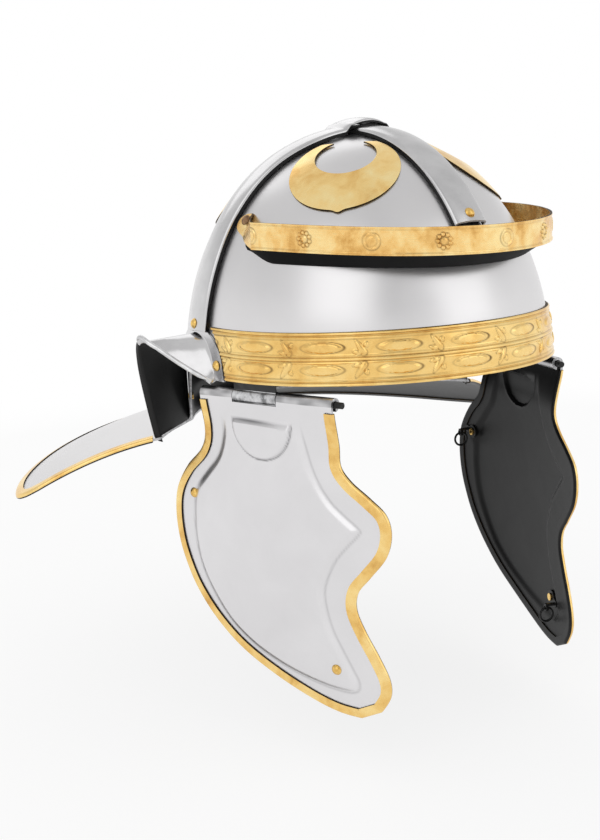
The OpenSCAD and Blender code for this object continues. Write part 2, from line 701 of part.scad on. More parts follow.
// Outward place of the sheet's outer face
function cheek_face(p) =
    let (settle = ease(-p.y / 30))
    knuckle_radius - 0.2 + settle * (cheek_bulge * (0.35 - pow(p.x / (1.6 * half_width), 2)
        - 0.5 * pow((p.y + cheek_length / 2) / (cheek_length / 2), 2)) - cheek_inset);
function cheek_row(t) =
    let (
        rear = cheek_edge_point(rear_outline, t),
        front = cheek_edge_point(front_outline, t),
        wide = norm(front - rear),
        margin = min(field_margin, wide * 0.3) / wide,
        crest = margin + min(field_slope, wide * 0.08) / wide,
        shares = [0, margin, crest, lerp(crest, 0.5, 0.5), 0.5, lerp(0.5, 1 - crest, 0.5), 1 - crest, 1 - margin, 1],
        field = field_rise * ease((-(rear.y + front.y) / 2 - field_top) / 8) * ease((0.93 - t) / 0.06)
    )
    [for (k = [0:len(shares) - 1])
        let (p = lerp(rear, front, shares[k]), raised = k > 1 && k < len(shares) - 2 ? field : 0)
        [p.x, cheek_face(p) + raised, p.y]];
boss_radius = 19;
boss_at = [-3, -13.5];
module cheek_sheet() {
    rows = [for (i = [0:cheek_rows]) cheek_row(i / cheek_rows)];
    between(rows, [for (r = rows) [for (p = r) p - [0, steel_sheet, 0]]]);
    // Half-round boss below the hinge
    translate([boss_at.x, cheek_face(boss_at) - steel_sheet / 2, boss_at.y])
        rotate([-90, 0, 0])
            linear_extrude(steel_sheet / 2 + 1.3)
                intersection() {
                    circle(boss_radius);
                    translate([-boss_radius, 0])
                        square([2 * boss_radius, boss_radius]);
                }
}
module along_pin(from, to, radius) {
    translate([from, 0, 0])
        rotate([0, 90, 0])
            cylinder(r = radius, h = to - from);
}
knuckle_rear = middle_knuckle_at - middle_knuckle / 2;
knuckle_front = middle_knuckle_at + middle_knuckle / 2;
cheek_rivet_places = [[-1.3 * half_width, -0.352 * cheek_length], [0.89 * half_width, -0.85 * cheek_length]];
rivet_field = [0, field_rise];

module cheek_guard(side) {
    color([0.84, 0.85, 0.86])
        at_cheek(side)
            difference() {
                union() {
                    cheek_sheet();
                    along_pin(-0.99 * half_width, 1.01 * half_width, knuckle_radius);
                }
                translate([knuckle_rear - knuckle_gap, -10, -slot_depth])
                    cube([middle_knuckle + 2 * knuckle_gap, 20, slot_depth + 10]);
                along_pin(-half_width - 5, half_width + 5, pin_radius + pin_clearance);
                for (k = [0, 1]) cheek_rivet_hole(k);
            }
}
// Turns of the sheet's face at a rivet, about the pin's direction and about the upright
function cheek_turn(k) =
    let (p = cheek_rivet_places[k])
    [
        -atan(cheek_face(p + [0, 0.5]) - cheek_face(p - [0, 0.5])),
        atan(cheek_face(p + [0.5, 0]) - cheek_face(p - [0.5, 0]))
    ];
function cheek_rivet_point(k) =
    let (p = cheek_rivet_places[k])
    [p.x, cheek_face(p) + rivet_field[k], p.y];
// Frame on the outer face at a rivet, with +Y along the face's normal
module at_cheek_rivet(k) {
    translate(cheek_rivet_point(k))
        rotate([cheek_turn(k)[0], 0, cheek_turn(k)[1]])
            children();
}
// The same place in the cheek guard's frame
function cheek_rivet_spot(k, v) =
    let (
        a = cheek_turn(k)[0],
        b = cheek_turn(k)[1],
        tipped = [v.x, v.y * cos(a) - v.z * sin(a), v.y * sin(a) + v.z * cos(a)]
    )
    cheek_rivet_point(k) + [tipped.x * cos(b) - tipped.y * sin(b), tipped.x * sin(b) + tipped.y * cos(b), tipped.z];
module cheek_rivets(side) {
    color([0.85, 0.66, 0.3])
        at_cheek(side)
            for (k = [0, 1])
                at_cheek_rivet(k)
                    translate([0, touch, 0])
                        rotate([-90, 0, 0])
                            rivet(touch + steel_sheet + clip_gap + clip_plate + touch);
}
module cheek_rivet_hole(k) {
    at_cheek_rivet(k)
        rotate([-90, 0, 0])
            rivet_hole(8);
}

// Edging from the rear of the hinge, round the tip, to the front of the hinge
edging_start = 1;          // rows of the sheet left bare below the hinge
module cheek_edging(side) {
    edge_rear = [for (i = [edging_start:cheek_rows]) cheek_edge_point(rear_outline, i / cheek_rows)];
    edge_front = [for (i = [cheek_rows:-1:edging_start]) cheek_edge_point(front_outline, i / cheek_rows)];
    flat = concat(edge_rear, edge_front);
    last = len(flat) - 1;
    edge = [for (p = flat) [p.x, cheek_face(p), p.y]];
    inward = [for (i = [0:last])
        let (t = unit(flat[min(last, i + 1)] - flat[max(0, i - 1)]))
        [-t.y, 0, t.x]];
    normal = [for (i = [0:last]) [0, 1, 0]];
    function drift(i) =
        let (p = flat[i], q = p + [inward[i].x, inward[i].z] * edging_cover)
        [0, cheek_face(q) - cheek_face(p), 0];
    color([0.88, 0.7, 0.33])
        at_cheek(side)
            edge_channel(edge, inward, normal, steel_sheet, function(i) drift(i));
}

// Hinge plates and pins

plate_top = 16;
module hinge_plate(side) {
    stations = [for (i = [0:4]) lerp(knuckle_rear + 0.5, knuckle_front - 0.5, i / 4)];
    middle_bearing = acos(hinge_back / bowl_a);
    axis = [sin(hinge_turn), -cos(hinge_turn), 0];
    aside = [-cos(hinge_turn), -sin(hinge_turn), 0];
    function leaf(u, z) = at_level(middle_bearing - u / bowl_b * 180 / PI, z, -steel_sheet - seat);
    function neck(u) = hinge_middle + axis * u + aside * (knuckle_radius - steel_sheet - 0.4) + [0, 0, 1.5];
    face = [for (k = [0:3]) [for (u = stations) k == 0 ? neck(u) : leaf(u, lerp(1, plate_top, (k - 1) / 2))]];
    color([0.5, 0.5, 0.5])
        difference() {
            union() {
                mirror([side > 0 ? 0 : 1, 0, 0])
                    between(face, thickened(face, steel_sheet - 0.2));
                at_hinge(side) along_pin(knuckle_rear, knuckle_front, knuckle_radius);
            }
            at_hinge(side) along_pin(-half_width, half_width, pin_radius + pin_clearance);
            for (k = [0, 1]) at_plate_rivet(side, k) rivet_hole(6);
        }
}
plate_rivet_spread = 8;
module at_plate_rivet(side, k) {
    u = middle_knuckle_at + (k == 0 ? -plate_rivet_spread : plate_rivet_spread);
    bearing = acos(hinge_back / bowl_a) - u / bowl_b * 180 / PI;
    p = at_level(side * bearing, plate_top * 0.62, -steel_sheet);
    n = dome_normal(at_level(side * bearing, plate_top * 0.62));
    stand_at(p - n * (seat + steel_sheet), -n) children();
}
// Rivets with their heads inside and their shanks dressed flush under the rim band
module hinge_plate_rivets() {
    color([0.6, 0.6, 0.6])
        for (s = [1, -1]) for (k = [0, 1])
            at_plate_rivet(s, k) rivet(seat + 2 * steel_sheet - 0.3, tail = false);
}
module hinge_pin(side) {
    color([0.35, 0.35, 0.36])
        at_hinge(side)
            along_pin(-half_width - 1, half_width + pin_front, pin_radius);
}

// Tie clips and rings

clip_plate = 1;
clip_gap = 0.35;           // gap between a clip and the sheet
clip_radius = 4.2;
clip_bar_width = 4.4;
foot_radius = 2.4;
stem_width = 2.4;
stem_height = 1.2;
eye_length = 1.8;
eye_bore = ring_wire + ring_fit;
eye_radius = eye_bore + 0.8;
ring_gap = 1.2;            // gap between a ring and the clip's plate
// Places of the eyes beside the rivets
eye_offsets = [[-5.5, -1], [5.5, -4.5]];
clip_face = -steel_sheet - clip_gap;
eye_depth = clip_face - ring_gap - ring_wire - ring_radius;

function eye_at(k) = cheek_rivet_spot(k, [eye_offsets[k].x, eye_depth, eye_offsets[k].y]);
module clip_disc(at, radius) {
    translate([at.x, clip_face, at.y])
        rotate([90, 0, 0])
            cylinder(r = radius, h = clip_plate);
}
module tie_clip(side, k) {
    eye = eye_offsets[k];
    foot = eye + [0, eye_radius];
    color([0.12, 0.12, 0.12])
        at_cheek(side)
            difference() {
                at_cheek_rivet(k)
                    difference() {
                        union() {
                            clip_disc([0, 0], clip_radius);
                            clip_disc(foot, foot_radius);
                            translate([0, clip_face - clip_plate, 0])
                                rotate([0, -atan2(foot.y, foot.x), 0])
                                    translate([0, 0, -clip_bar_width / 2])
                                        cube([norm(foot), clip_plate, clip_bar_width]);
                            translate([eye.x - stem_width / 2, eye_depth - eye_length / 2, eye.y + eye_bore + 0.1])
                                cube([stem_width, clip_face - 0.3 - eye_depth + eye_length / 2, stem_height]);
                            translate([eye.x, eye_depth + eye_length / 2, eye.y])
                                rotate([90, 0, 0])
                                    cylinder(r = eye_radius, h = eye_length);
                        }
                        translate([eye.x, eye_depth + eye_length, eye.y])
                            rotate([90, 0, 0])
                                cylinder(r = eye_bore, h = 2 * eye_length);
                    }
                cheek_rivet_hole(k);
            }
}
// Ring hanging straight down from its eye, whatever the angle of the cheek guard
module tie_ring(side, k) {
    color([0.12, 0.12, 0.12])
        at_cheek(side)
            translate(eye_at(k))
                rotate([-hang_angle, 0, 0])
                    translate([0, 0, -ring_radius])
                        rotate([0, 90, 0])
                            rotate_extrude()
                                translate([ring_radius, 0])
                                    circle(ring_wire, $fn = 24);
}

skull_bowl();
fore_aft_band();
side_band();
band_rivets();
crescent(1, crescent_front);  // crescent_front_right
crescent(-1, crescent_front);  // crescent_front_left
crescent(1, crescent_rear);  // crescent_rear_right
crescent(-1, crescent_rear);  // crescent_rear_left
brow_guard();
brow_guard_facing();
brow_guard_rivets();
rim_band();
ear_guard(1);  // ear_guard_right
ear_guard(-1);  // ear_guard_left
ear_guard_rivets();
neck_guard();
neck_guard_edging();
hinge_plate(1);  // hinge_plate_right
hinge_plate(-1);  // hinge_plate_left
hinge_plate_rivets();
hinge_pin(1);  // hinge_pin_right
hinge_pin(-1);  // hinge_pin_left
cheek_guard(1);  // cheek_guard_right
cheek_guard(-1);  // cheek_guard_left
cheek_edging(1);  // cheek_edging_right
cheek_edging(-1);  // cheek_edging_left
cheek_rivets(1);  // cheek_rivets_right
cheek_rivets(-1);  // cheek_rivets_left
tie_clip(1, 0);  // tie_clip_upper_right
tie_clip(-1, 0);  // tie_clip_upper_left
tie_clip(1, 1);  // tie_clip_lower_right
tie_clip(-1, 1);  // tie_clip_lower_left
tie_ring(1, 0);  // tie_ring_upper_right
tie_ring(-1, 0);  // tie_ring_upper_left
tie_ring(1, 1);  // tie_ring_lower_right
tie_ring(-1, 1);  // tie_ring_lower_left
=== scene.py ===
"""Imperial gallic helmet: the looks of a steel bowl with crossed bands, brass trim, a brow guard,
ear guards, a neck guard and two hinged cheek guards. Lengths are in millimetres and become metres
where a mesh is made. +Z is up, the brow faces -Y and the wearer's right is -X."""
import math

import bmesh
import bpy
import numpy as np
from mathutils import Matrix, Vector, noise

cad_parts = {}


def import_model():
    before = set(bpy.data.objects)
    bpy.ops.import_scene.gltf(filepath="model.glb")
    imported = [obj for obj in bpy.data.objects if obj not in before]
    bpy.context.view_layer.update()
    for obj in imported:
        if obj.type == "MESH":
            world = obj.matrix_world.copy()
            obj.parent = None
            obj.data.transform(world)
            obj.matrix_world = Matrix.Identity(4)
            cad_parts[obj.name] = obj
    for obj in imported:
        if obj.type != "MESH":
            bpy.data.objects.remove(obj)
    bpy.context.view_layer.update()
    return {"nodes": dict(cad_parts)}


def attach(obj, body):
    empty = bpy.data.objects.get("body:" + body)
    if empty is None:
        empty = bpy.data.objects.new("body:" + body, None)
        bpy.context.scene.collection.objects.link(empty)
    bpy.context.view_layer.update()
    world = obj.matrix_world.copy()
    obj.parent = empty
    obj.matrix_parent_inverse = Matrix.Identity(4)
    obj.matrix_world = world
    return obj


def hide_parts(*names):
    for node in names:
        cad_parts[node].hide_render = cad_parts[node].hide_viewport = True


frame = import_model()

MM = 0.001
RIGHT, LEFT = 1, -1
SIDE_NAMES = {RIGHT: "right", LEFT: "left"}

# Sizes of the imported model
BOWL_A, BOWL_B = 110.5, 101.5
WAIST, CROWN = -7.5, 126.0
DOME_HEIGHT = CROWN - WAIST
DOME_FULLNESS = 2.13
STEEL, BRASS = 1.4, 0.9
SEAT, BAND_SEAT, TOUCH = 0.3, 0.45, 0.1
BROW_RISE, EAR_RISE, NECK_DROP, NAPE_RIB = 2.5, 13.0, 34.0, 2.4
EAR_FRONT, EAR_TOP_FRONT, EAR_TOP_BACK, EAR_BACK = 93.0, 101.0, 108.0, 124.0
RIM_BAND_HEIGHT = 27.0


# Helpers

def ease(t):
    t = np.clip(t, 0, 1)
    return t * t * (3 - 2 * t)


def unit(v):
    v = np.asarray(v, float)
    return v / np.maximum(np.linalg.norm(v, axis=-1, keepdims=True), 1e-9)


def lerp(a, b, t):
    return a + (b - a) * t


def along(points, t):
    """Point at t, from 0 to 1, on a smooth curve through the points."""
    points = np.asarray(points, float)
    last = len(points) - 1
    s = min(last - 1e-5, max(0.0, t * last))
    i = int(s)
    f = s - i
    a, b, c, d = points[max(0, i - 1)], points[i], points[i + 1], points[min(last, i + 2)]
    return 0.5 * (2 * b + (c - a) * f
                  + (2 * a - 5 * b + 4 * c - d) * f * f
                  + (3 * b - a - 3 * c + d) * f ** 3)


def rounded(points, radius, steps=5):
    """The polyline with each corner rounded, always with the same number of points."""
    points = [np.asarray(p, float) for p in points]
    line = [points[0]]
    for a, b, c in zip(points, points[1:], points[2:]):
        reach = min(radius, 0.45 * np.linalg.norm(a - b), 0.45 * np.linalg.norm(c - b))
        p, q = b + unit(a - b) * reach, b + unit(c - b) * reach
        for k in range(steps):
            t = k / (steps - 1)
            line.append(lerp(lerp(p, b, t), lerp(b, q, t), t))
    line.append(points[-1])
    return line


def spread(points, count):
    """Evenly spaced points on a polyline."""
    points = np.asarray(points, float)
    length = np.r_[0, np.cumsum(np.linalg.norm(np.diff(points, axis=0), axis=1))]
    at = np.linspace(0, length[-1], count)
    return np.stack([np.interp(at, length, points[:, k]) for k in range(points.shape[1])], -1)


def ripple(p, size, seed=0.0):
    """Smooth noise from -1 to 1 at a place, with waves of about the given size."""
    shifted = (p[0] / size + seed, p[1] / size - seed, p[2] / size + 2 * seed)
    return noise.noise(Vector(shifted))


# The bowl's shape. Bearings are in degrees from the brow, towards the wearer's right.

def level_share(z, out=0.0):
    """Width of the dome at a level, as a share of its width at the waist."""
    if z <= WAIST:
        return 1.0
    return max(0.0, 1 - ((z - WAIST) / (DOME_HEIGHT + out)) ** DOME_FULLNESS) ** (1 / DOME_FULLNESS)


def at_level(bearing, z, out=0.0):
    """Point on the bowl, or that far out from it."""
    share, b = level_share(z, out), math.radians(bearing)
    return np.array([-(BOWL_B + out) * share * math.sin(b), -(BOWL_A + out) * share * math.cos(b), z])


def beside(bearing, z, away):
    """Point level with z, that far away from the bowl's side."""
    share, b = level_share(z), math.radians(bearing)
    return np.array([-(BOWL_B * share + away) * math.sin(b), -(BOWL_A * share + away) * math.cos(b), z])


def on_dome(ray, out=0.0):
    """Point where a ray from the middle of the waist meets the dome."""
    flat = math.hypot(ray[0] / (BOWL_B + out), ray[1] / (BOWL_A + out)) ** DOME_FULLNESS
    tall = (abs(ray[2]) / (DOME_HEIGHT + out)) ** DOME_FULLNESS
    return np.asarray(ray) * (flat + tall) ** (-1 / DOME_FULLNESS) + np.array([0, 0, WAIST])


def rim_level(bearing):
    """Level of the bowl's lower edge: a low arch at the brow, a cut over the ear, the nape behind."""
    b = abs(bearing)
    return (BROW_RISE * max(0.0, math.cos(math.radians(b))) ** 2
            + EAR_RISE * float(ease((b - EAR_FRONT) / (EAR_TOP_FRONT - EAR_FRONT)))
            - (EAR_RISE + NECK_DROP) * float(ease((b - EAR_TOP_BACK) / (EAR_BACK - EAR_TOP_BACK))))


def nape_bulge(bearing, z):
    """Height of the two ribs pressed into the nape."""
    if not -NECK_DROP < z < 0:
        return 0.0
    fade = float(ease((abs(bearing) - EAR_BACK - 4) / 16))
    return NAPE_RIB * fade * math.sin(math.radians(360 * z / NECK_DROP)) ** 2


# Meshes

SHARP_ANGLE, BEVEL_ANGLE = 38, 55
GRAIN_SCALE = 0.01


class Shape:
    """Sheets that become one mesh, with a finish for the face, the back and the edges of each."""

    def __init__(self):
        self.points, self.faces, self.slots, self.grain, self.patina_and_shade = [], [], [], [], []

    def add(self, points, faces, slots, grain, patina_and_shade=None):
        start = len(self.points)
        patina_and_shade = [0.0] * len(points) if patina_and_shade is None else np.asarray(patina_and_shade, float).tolist()
        self.patina_and_shade.extend(patina_and_shade)
        self.points.extend(np.asarray(points, float).tolist())
        self.faces.extend([tuple(start + i for i in f) for f in faces])
        self.slots.extend(slots)
        self.grain.extend(np.asarray(grain, float).tolist())

    def sheet(self, face, back, slots=(0, 1, 2), ring=False, keep=None, cap=False,
              column_slots=None, back_slots=None, patina_and_shade=None):
        """Closed solid between two grids of points. keep says which cells the sheet has, column_slots
        and back_slots give a finish for each column of the face and each cell of the back, and the last
        argument darkens the face's points from 0 to 1, for patina and for painted shade."""
        face, back = np.asarray(face, float), np.asarray(back, float)
        rows, cols = face.shape[:2]
        half = rows * cols
        spans = cols if ring else cols - 1
        if keep is None:
            keep = np.ones((rows - 1, spans), bool)
        across = np.zeros((rows, cols))
        across[:, 1:] = np.cumsum(np.linalg.norm(np.diff(face, axis=1), axis=2), axis=1)
        down = np.zeros((rows, cols))
        down[1:] = np.cumsum(np.linalg.norm(np.diff(face, axis=0), axis=2), axis=0)
        grain = np.stack([across, down], -1).reshape(-1, 2)
        faces, kinds = [], []

        def at(i, j):
            return i * cols + j % cols

        def has(i, j):
            if ring:
                j %= spans
            return 0 <= i < rows - 1 and 0 <= j < spans and keep[i, j]

        for i in range(rows - 1):
            for j in range(spans):
                if not keep[i, j]:
                    continue
                a, b, c, d = at(i, j), at(i + 1, j), at(i + 1, j + 1), at(i, j + 1)
                faces += [(a, b, c, d), (half + d, half + c, half + b, half + a)]
                kinds += [slots[0] if column_slots is None else column_slots[j],
                          slots[1] if back_slots is None else back_slots[i][j]]
                if not has(i - 1, j):
                    faces.append((a, d, half + d, half + a))
                    kinds.append(slots[2])
                if not has(i + 1, j) and not (cap and i == rows - 2):
                    faces.append((c, b, half + b, half + c))
                    kinds.append(slots[2])
                if not has(i, j - 1):
                    faces.append((b, a, half + a, half + b))
                    kinds.append(slots[2])
                if not has(i, j + 1):
                    faces.append((d, c, half + c, half + d))
                    kinds.append(slots[2])
        points = np.concatenate([face.reshape(-1, 3), back.reshape(-1, 3)])
        grain = np.concatenate([grain, grain])
        if cap:
            top = len(points)
            points = np.concatenate([points, [face[-1].mean(0), back[-1].mean(0)]])
            grain = np.concatenate([grain, grain[:1], grain[:1]])
            for j in range(spans):
                faces += [(at(rows - 1, j), top, at(rows - 1, j + 1)),
                          (half + at(rows - 1, j + 1), top + 1, half + at(rows - 1, j))]
                kinds += [slots[0], slots[1]]
        shade = np.zeros(len(points))
        if patina_and_shade is not None:
            shade[:half] = np.ravel(patina_and_shade)
        self.add(points, faces, kinds, grain, shade)
        return self

    def mirrored(self):
        other = Shape()
        other.points = [[-x, y, z] for x, y, z in self.points]
        other.faces = [f[::-1] for f in self.faces]
        other.slots, other.grain, other.patina_and_shade = self.slots, self.grain, self.patina_and_shade
        return other


def make(name, shape, finishes, body, stands_for, edge=0.22):
    """Piece from a shape, riding on a body in place of CAD nodes, with its edges worn round."""
    mesh = bpy.data.meshes.new(name)
    mesh.from_pydata((np.array(shape.points) * MM).tolist(), [], shape.faces)
    for finish in finishes:
        mesh.materials.append(finish)
    mesh.polygons.foreach_set("material_index", shape.slots)
    layer = mesh.uv_layers.new(name="grain")
    corner = np.empty(len(mesh.loops), int)
    mesh.loops.foreach_get("vertex_index", corner)
    layer.data.foreach_set("uv", (np.array(shape.grain)[corner] * GRAIN_SCALE).ravel())
    mesh.attributes.new("patina_and_shade", "FLOAT", "POINT").data.foreach_set("value", shape.patina_and_shade)
    work = bmesh_of(mesh)
    work.to_mesh(mesh)
    work.free()
    mesh.shade_smooth()
    mesh.set_sharp_from_angle(angle=math.radians(SHARP_ANGLE))
    ob = bpy.data.objects.new(name, mesh)
    bpy.context.scene.collection.objects.link(ob)
    bevel = ob.modifiers.new("worn_edges", "BEVEL")
    bevel.width = edge * MM
    bevel.segments = 2
    bevel.limit_method = "ANGLE"
    bevel.angle_limit = math.radians(BEVEL_ANGLE)
    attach(ob, body)
    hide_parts(*stands_for)


def bmesh_of(mesh):
    """The mesh with its faces turned outward and its folded points merged."""
    work = bmesh.new()
    work.from_mesh(mesh)
    bmesh.ops.remove_doubles(work, verts=work.verts, dist=1e-6)
    bmesh.ops.dissolve_degenerate(work, dist=1e-7, edges=work.edges)
    bmesh.ops.recalc_face_normals(work, faces=work.faces)
    return work


def grid_normals(grid):
    grid = np.asarray(grid, float)
    down = np.gradient(grid, axis=0)
    sideways = np.gradient(grid, axis=1)
    return unit(np.cross(down, sideways))


# Shader effects that several finishes share

def group(name, inputs, outputs):
    tree = bpy.data.node_groups.new(name, "ShaderNodeTree")
    for socket, kind, value in inputs:
        made = tree.interface.new_socket(name=socket, in_out="INPUT", socket_type=kind)
        if value is not None:
            made.default_value = value
    for socket, kind in outputs:
        tree.interface.new_socket(name=socket, in_out="OUTPUT", socket_type=kind)
    start, end = tree.nodes.new("NodeGroupInput"), tree.nodes.new("NodeGroupOutput")
    return tree, start, end


def node(tree, kind, settings=None, **values):
    made = tree.nodes.new(kind)
    for key, value in (settings or {}).items():
        setattr(made, key, value)
    for key, value in values.items():
        made.inputs[key.replace("_", " ")].default_value = value
    return made


def math_node(tree, operation, a, b=None, c=None, clamp=False):
    made = tree.nodes.new("ShaderNodeMath")
    made.operation = operation
    made.use_clamp = clamp
    for k, value in enumerate((a, b, c)):
        if value is None:
            continue
        if isinstance(value, (int, float)):
            made.inputs[k].default_value = value
        else:
            tree.links.new(value, made.inputs[k])
    return made.outputs[0]


def brushed_group():
    """Fine scratches that run along the first grain direction."""
    tree, start, end = group(
        "brushed_scratches",
        [("Grain", "NodeSocketVector", None), ("Fineness", "NodeSocketFloat", 900.0),
         ("Length", "NodeSocketFloat", 5.0)],
        [("Height", "NodeSocketFloat"), ("Streaks", "NodeSocketFloat")])
    split = node(tree, "ShaderNodeSeparateXYZ")
    tree.links.new(start.outputs["Grain"], split.inputs[0])
    heights = []
    for share in (1.0, 0.31):
        u = math_node(tree, "MULTIPLY", split.outputs[0], start.outputs["Length"])
        v = math_node(tree, "MULTIPLY", split.outputs[1], start.outputs["Fineness"])
        v = math_node(tree, "MULTIPLY", v, share)
        join = node(tree, "ShaderNodeCombineXYZ")
        tree.links.new(u, join.inputs[0])
        tree.links.new(v, join.inputs[1])
        grain = node(tree, "ShaderNodeTexNoise", Scale=1.0, Detail=3.0, Roughness=0.6)
        tree.links.new(join.outputs[0], grain.inputs["Vector"])
        heights.append(grain.outputs[0])
    total = math_node(tree, "MULTIPLY_ADD", heights[0], 0.5,
                      math_node(tree, "MULTIPLY", heights[1], 0.5))
    tree.links.new(total, end.inputs["Height"])
    tree.links.new(heights[1], end.inputs["Streaks"])
    return tree


def mottling_group():
    """Cloudy patches in two sizes, from 0 to 1."""
    tree, start, end = group(
        "mottling",
        [("Place", "NodeSocketVector", None), ("Size", "NodeSocketFloat", 60.0),
         ("Contrast", "NodeSocketFloat", 2.0)],
        [("Mask", "NodeSocketFloat"), ("Fine", "NodeSocketFloat")])
    big = node(tree, "ShaderNodeTexNoise", Detail=3.0, Roughness=0.55, Distortion=0.6)
    small = node(tree, "ShaderNodeTexNoise", Detail=5.0, Roughness=0.65, Distortion=0.3)
    for made, share in ((big, 1.0), (small, 3.7)):
        tree.links.new(start.outputs["Place"], made.inputs["Vector"])
        tree.links.new(math_node(tree, "MULTIPLY", start.outputs["Size"], share), made.inputs["Scale"])
    both = math_node(tree, "MULTIPLY_ADD", small.outputs[0], 0.35,
                     math_node(tree, "MULTIPLY", big.outputs[0], 0.65))
    centred = math_node(tree, "SUBTRACT", both, 0.5)
    sharp = math_node(tree, "MULTIPLY_ADD", centred, start.outputs["Contrast"], 0.5, clamp=True)
    tree.links.new(sharp, end.inputs["Mask"])
    tree.links.new(small.outputs[0], end.inputs["Fine"])
    return tree


def hammered_group():
    """Shallow dents that overlap, as a hammer leaves them."""
    tree, start, end = group(
        "hammer_dents",
        [("Place", "NodeSocketVector", None), ("Size", "NodeSocketFloat", 250.0)],
        [("Height", "NodeSocketFloat")])
    dents = node(tree, "ShaderNodeTexVoronoi", {"feature": "SMOOTH_F1"}, Smoothness=0.6)
    tree.links.new(start.outputs["Place"], dents.inputs["Vector"])
    tree.links.new(start.outputs["Size"], dents.inputs["Scale"])
    swell = node(tree, "ShaderNodeTexNoise", Detail=2.0)
    tree.links.new(start.outputs["Place"], swell.inputs["Vector"])
    tree.links.new(math_node(tree, "MULTIPLY", start.outputs["Size"], 0.4), swell.inputs["Scale"])
    height = math_node(tree, "MULTIPLY_ADD", dents.outputs["Distance"], 0.6, swell.outputs[0])
    tree.links.new(height, end.inputs["Height"])
    return tree


BRUSHED, MOTTLING, HAMMERED = brushed_group(), mottling_group(), hammered_group()
SCRATCH_DEPTH, DENT_DEPTH = 0.00012, 0.0006


def place_group(tree, which, **values):
    made = node(tree, "ShaderNodeGroup")
    made.node_tree = which
    for key, value in values.items():
        if isinstance(value, (int, float)):
            made.inputs[key].default_value = value
        else:
            tree.links.new(value, made.inputs[key])
    return made


def tone_ramp(tree, mask, tones):
    ramp = tree.nodes.new("ShaderNodeValToRGB")
    ramp.color_ramp.elements[0].position = tones[0][0]
    ramp.color_ramp.elements[0].color = (*tones[0][1], 1)
    ramp.color_ramp.elements[1].position = tones[-1][0]
    ramp.color_ramp.elements[1].color = (*tones[-1][1], 1)
    for at, colour in tones[1:-1]:
        ramp.color_ramp.elements.new(at).color = (*colour, 1)
    tree.links.new(mask, ramp.inputs[0])
    return ramp.outputs[0]


def finish(name, tones, metallic, roughness, patches=60.0, contrast=2.0, scratches=0.0, fineness=900.0,
           dents=0.0, dent_size=250.0, specular=0.5, grooves=None, brushed_along=0.0):
    """A material: tones over cloudy patches, roughness between two values, scratches and dents.
    grooves is the tone that each point's darkening brings: patina in the engraved lines of the brass,
    with painted shade at one end of each rim oval, and on the cheek's steel painted shade along its
    relief and uneven darkening of its knuckles. brushed_along draws the gloss out along the grain."""
    material = bpy.data.materials.new(name)
    material.use_nodes = True
    tree = material.node_tree
    shader = tree.nodes["Principled BSDF"]
    place = node(tree, "ShaderNodeTexCoord")
    grain = node(tree, "ShaderNodeUVMap", {"uv_map": "grain"})
    patch = place_group(tree, MOTTLING, Place=place.outputs["Object"], Size=patches, Contrast=contrast)
    tone = tone_ramp(tree, patch.outputs["Mask"], tones)
    if grooves:
        patina_and_shade = node(tree, "ShaderNodeAttribute", {"attribute_name": "patina_and_shade"})
        stain = node(tree, "ShaderNodeMix", {"data_type": "RGBA"})
        stain.inputs["B"].default_value = (*grooves, 1)
        tree.links.new(patina_and_shade.outputs["Fac"], stain.inputs["Factor"])
        tree.links.new(tone, stain.inputs["A"])
        tone = stain.outputs["Result"]
    tree.links.new(tone, shader.inputs["Base Color"])
    brushed = place_group(tree, BRUSHED, Grain=grain.outputs[0], Fineness=fineness)
    low, high = roughness
    rough = node(tree, "ShaderNodeMapRange", To_Min=low, To_Max=high)
    blend = math_node(tree, "MULTIPLY_ADD", brushed.outputs["Streaks"], 0.5,
                      math_node(tree, "MULTIPLY", patch.outputs["Fine"], 0.5))
    tree.links.new(blend, rough.inputs[0])
    tree.links.new(rough.outputs[0], shader.inputs["Roughness"])
    shader.inputs["Metallic"].default_value = metallic
    shader.inputs["Anisotropic"].default_value = brushed_along
    shader.inputs["Specular IOR Level"].default_value = specular
    bump = None
    if scratches:
        bump = node(tree, "ShaderNodeBump", Strength=scratches, Distance=SCRATCH_DEPTH)
        tree.links.new(brushed.outputs["Height"], bump.inputs["Height"])
    if dents:
        hammer = place_group(tree, HAMMERED, Place=place.outputs["Object"], Size=dent_size)
        deep = node(tree, "ShaderNodeBump", Strength=dents, Distance=DENT_DEPTH)
        tree.links.new(hammer.outputs["Height"], deep.inputs["Height"])
        if bump:
            tree.links.new(bump.outputs[0], deep.inputs["Normal"])
        bump = deep
    if bump:
        tree.links.new(bump.outputs[0], shader.inputs["Normal"])
    return material


BOWL_TONES = [(0.2, (0.67, 0.66, 0.665)), (0.55, (0.715, 0.705, 0.71)), (0.9, (0.75, 0.74, 0.745))]
BAND_TONES = [(0.2, (0.54, 0.535, 0.54)), (0.55, (0.62, 0.615, 0.62)), (0.9, (0.69, 0.685, 0.69))]
CHEEK_TONES = [(0.2, (0.7, 0.69, 0.7)), (0.9, (0.79, 0.78, 0.79))]
LIP_TONES = [(0.2, (0.5, 0.5, 0.505)), (0.8, (0.82, 0.82, 0.825))]
CUT_EDGE_TONES = [(0.2, (0.3, 0.3, 0.31)), (0.8, (0.66, 0.66, 0.67))]
HINGE_TONES = [(0.2, (0.22, 0.22, 0.225)), (0.5, (0.55, 0.55, 0.56)), (0.8, (0.72, 0.72, 0.73))]
BRASS_TONES = [(0.12, (0.66, 0.37, 0.1)), (0.42, (0.87, 0.57, 0.19)), (0.85, (0.98, 0.75, 0.33))]
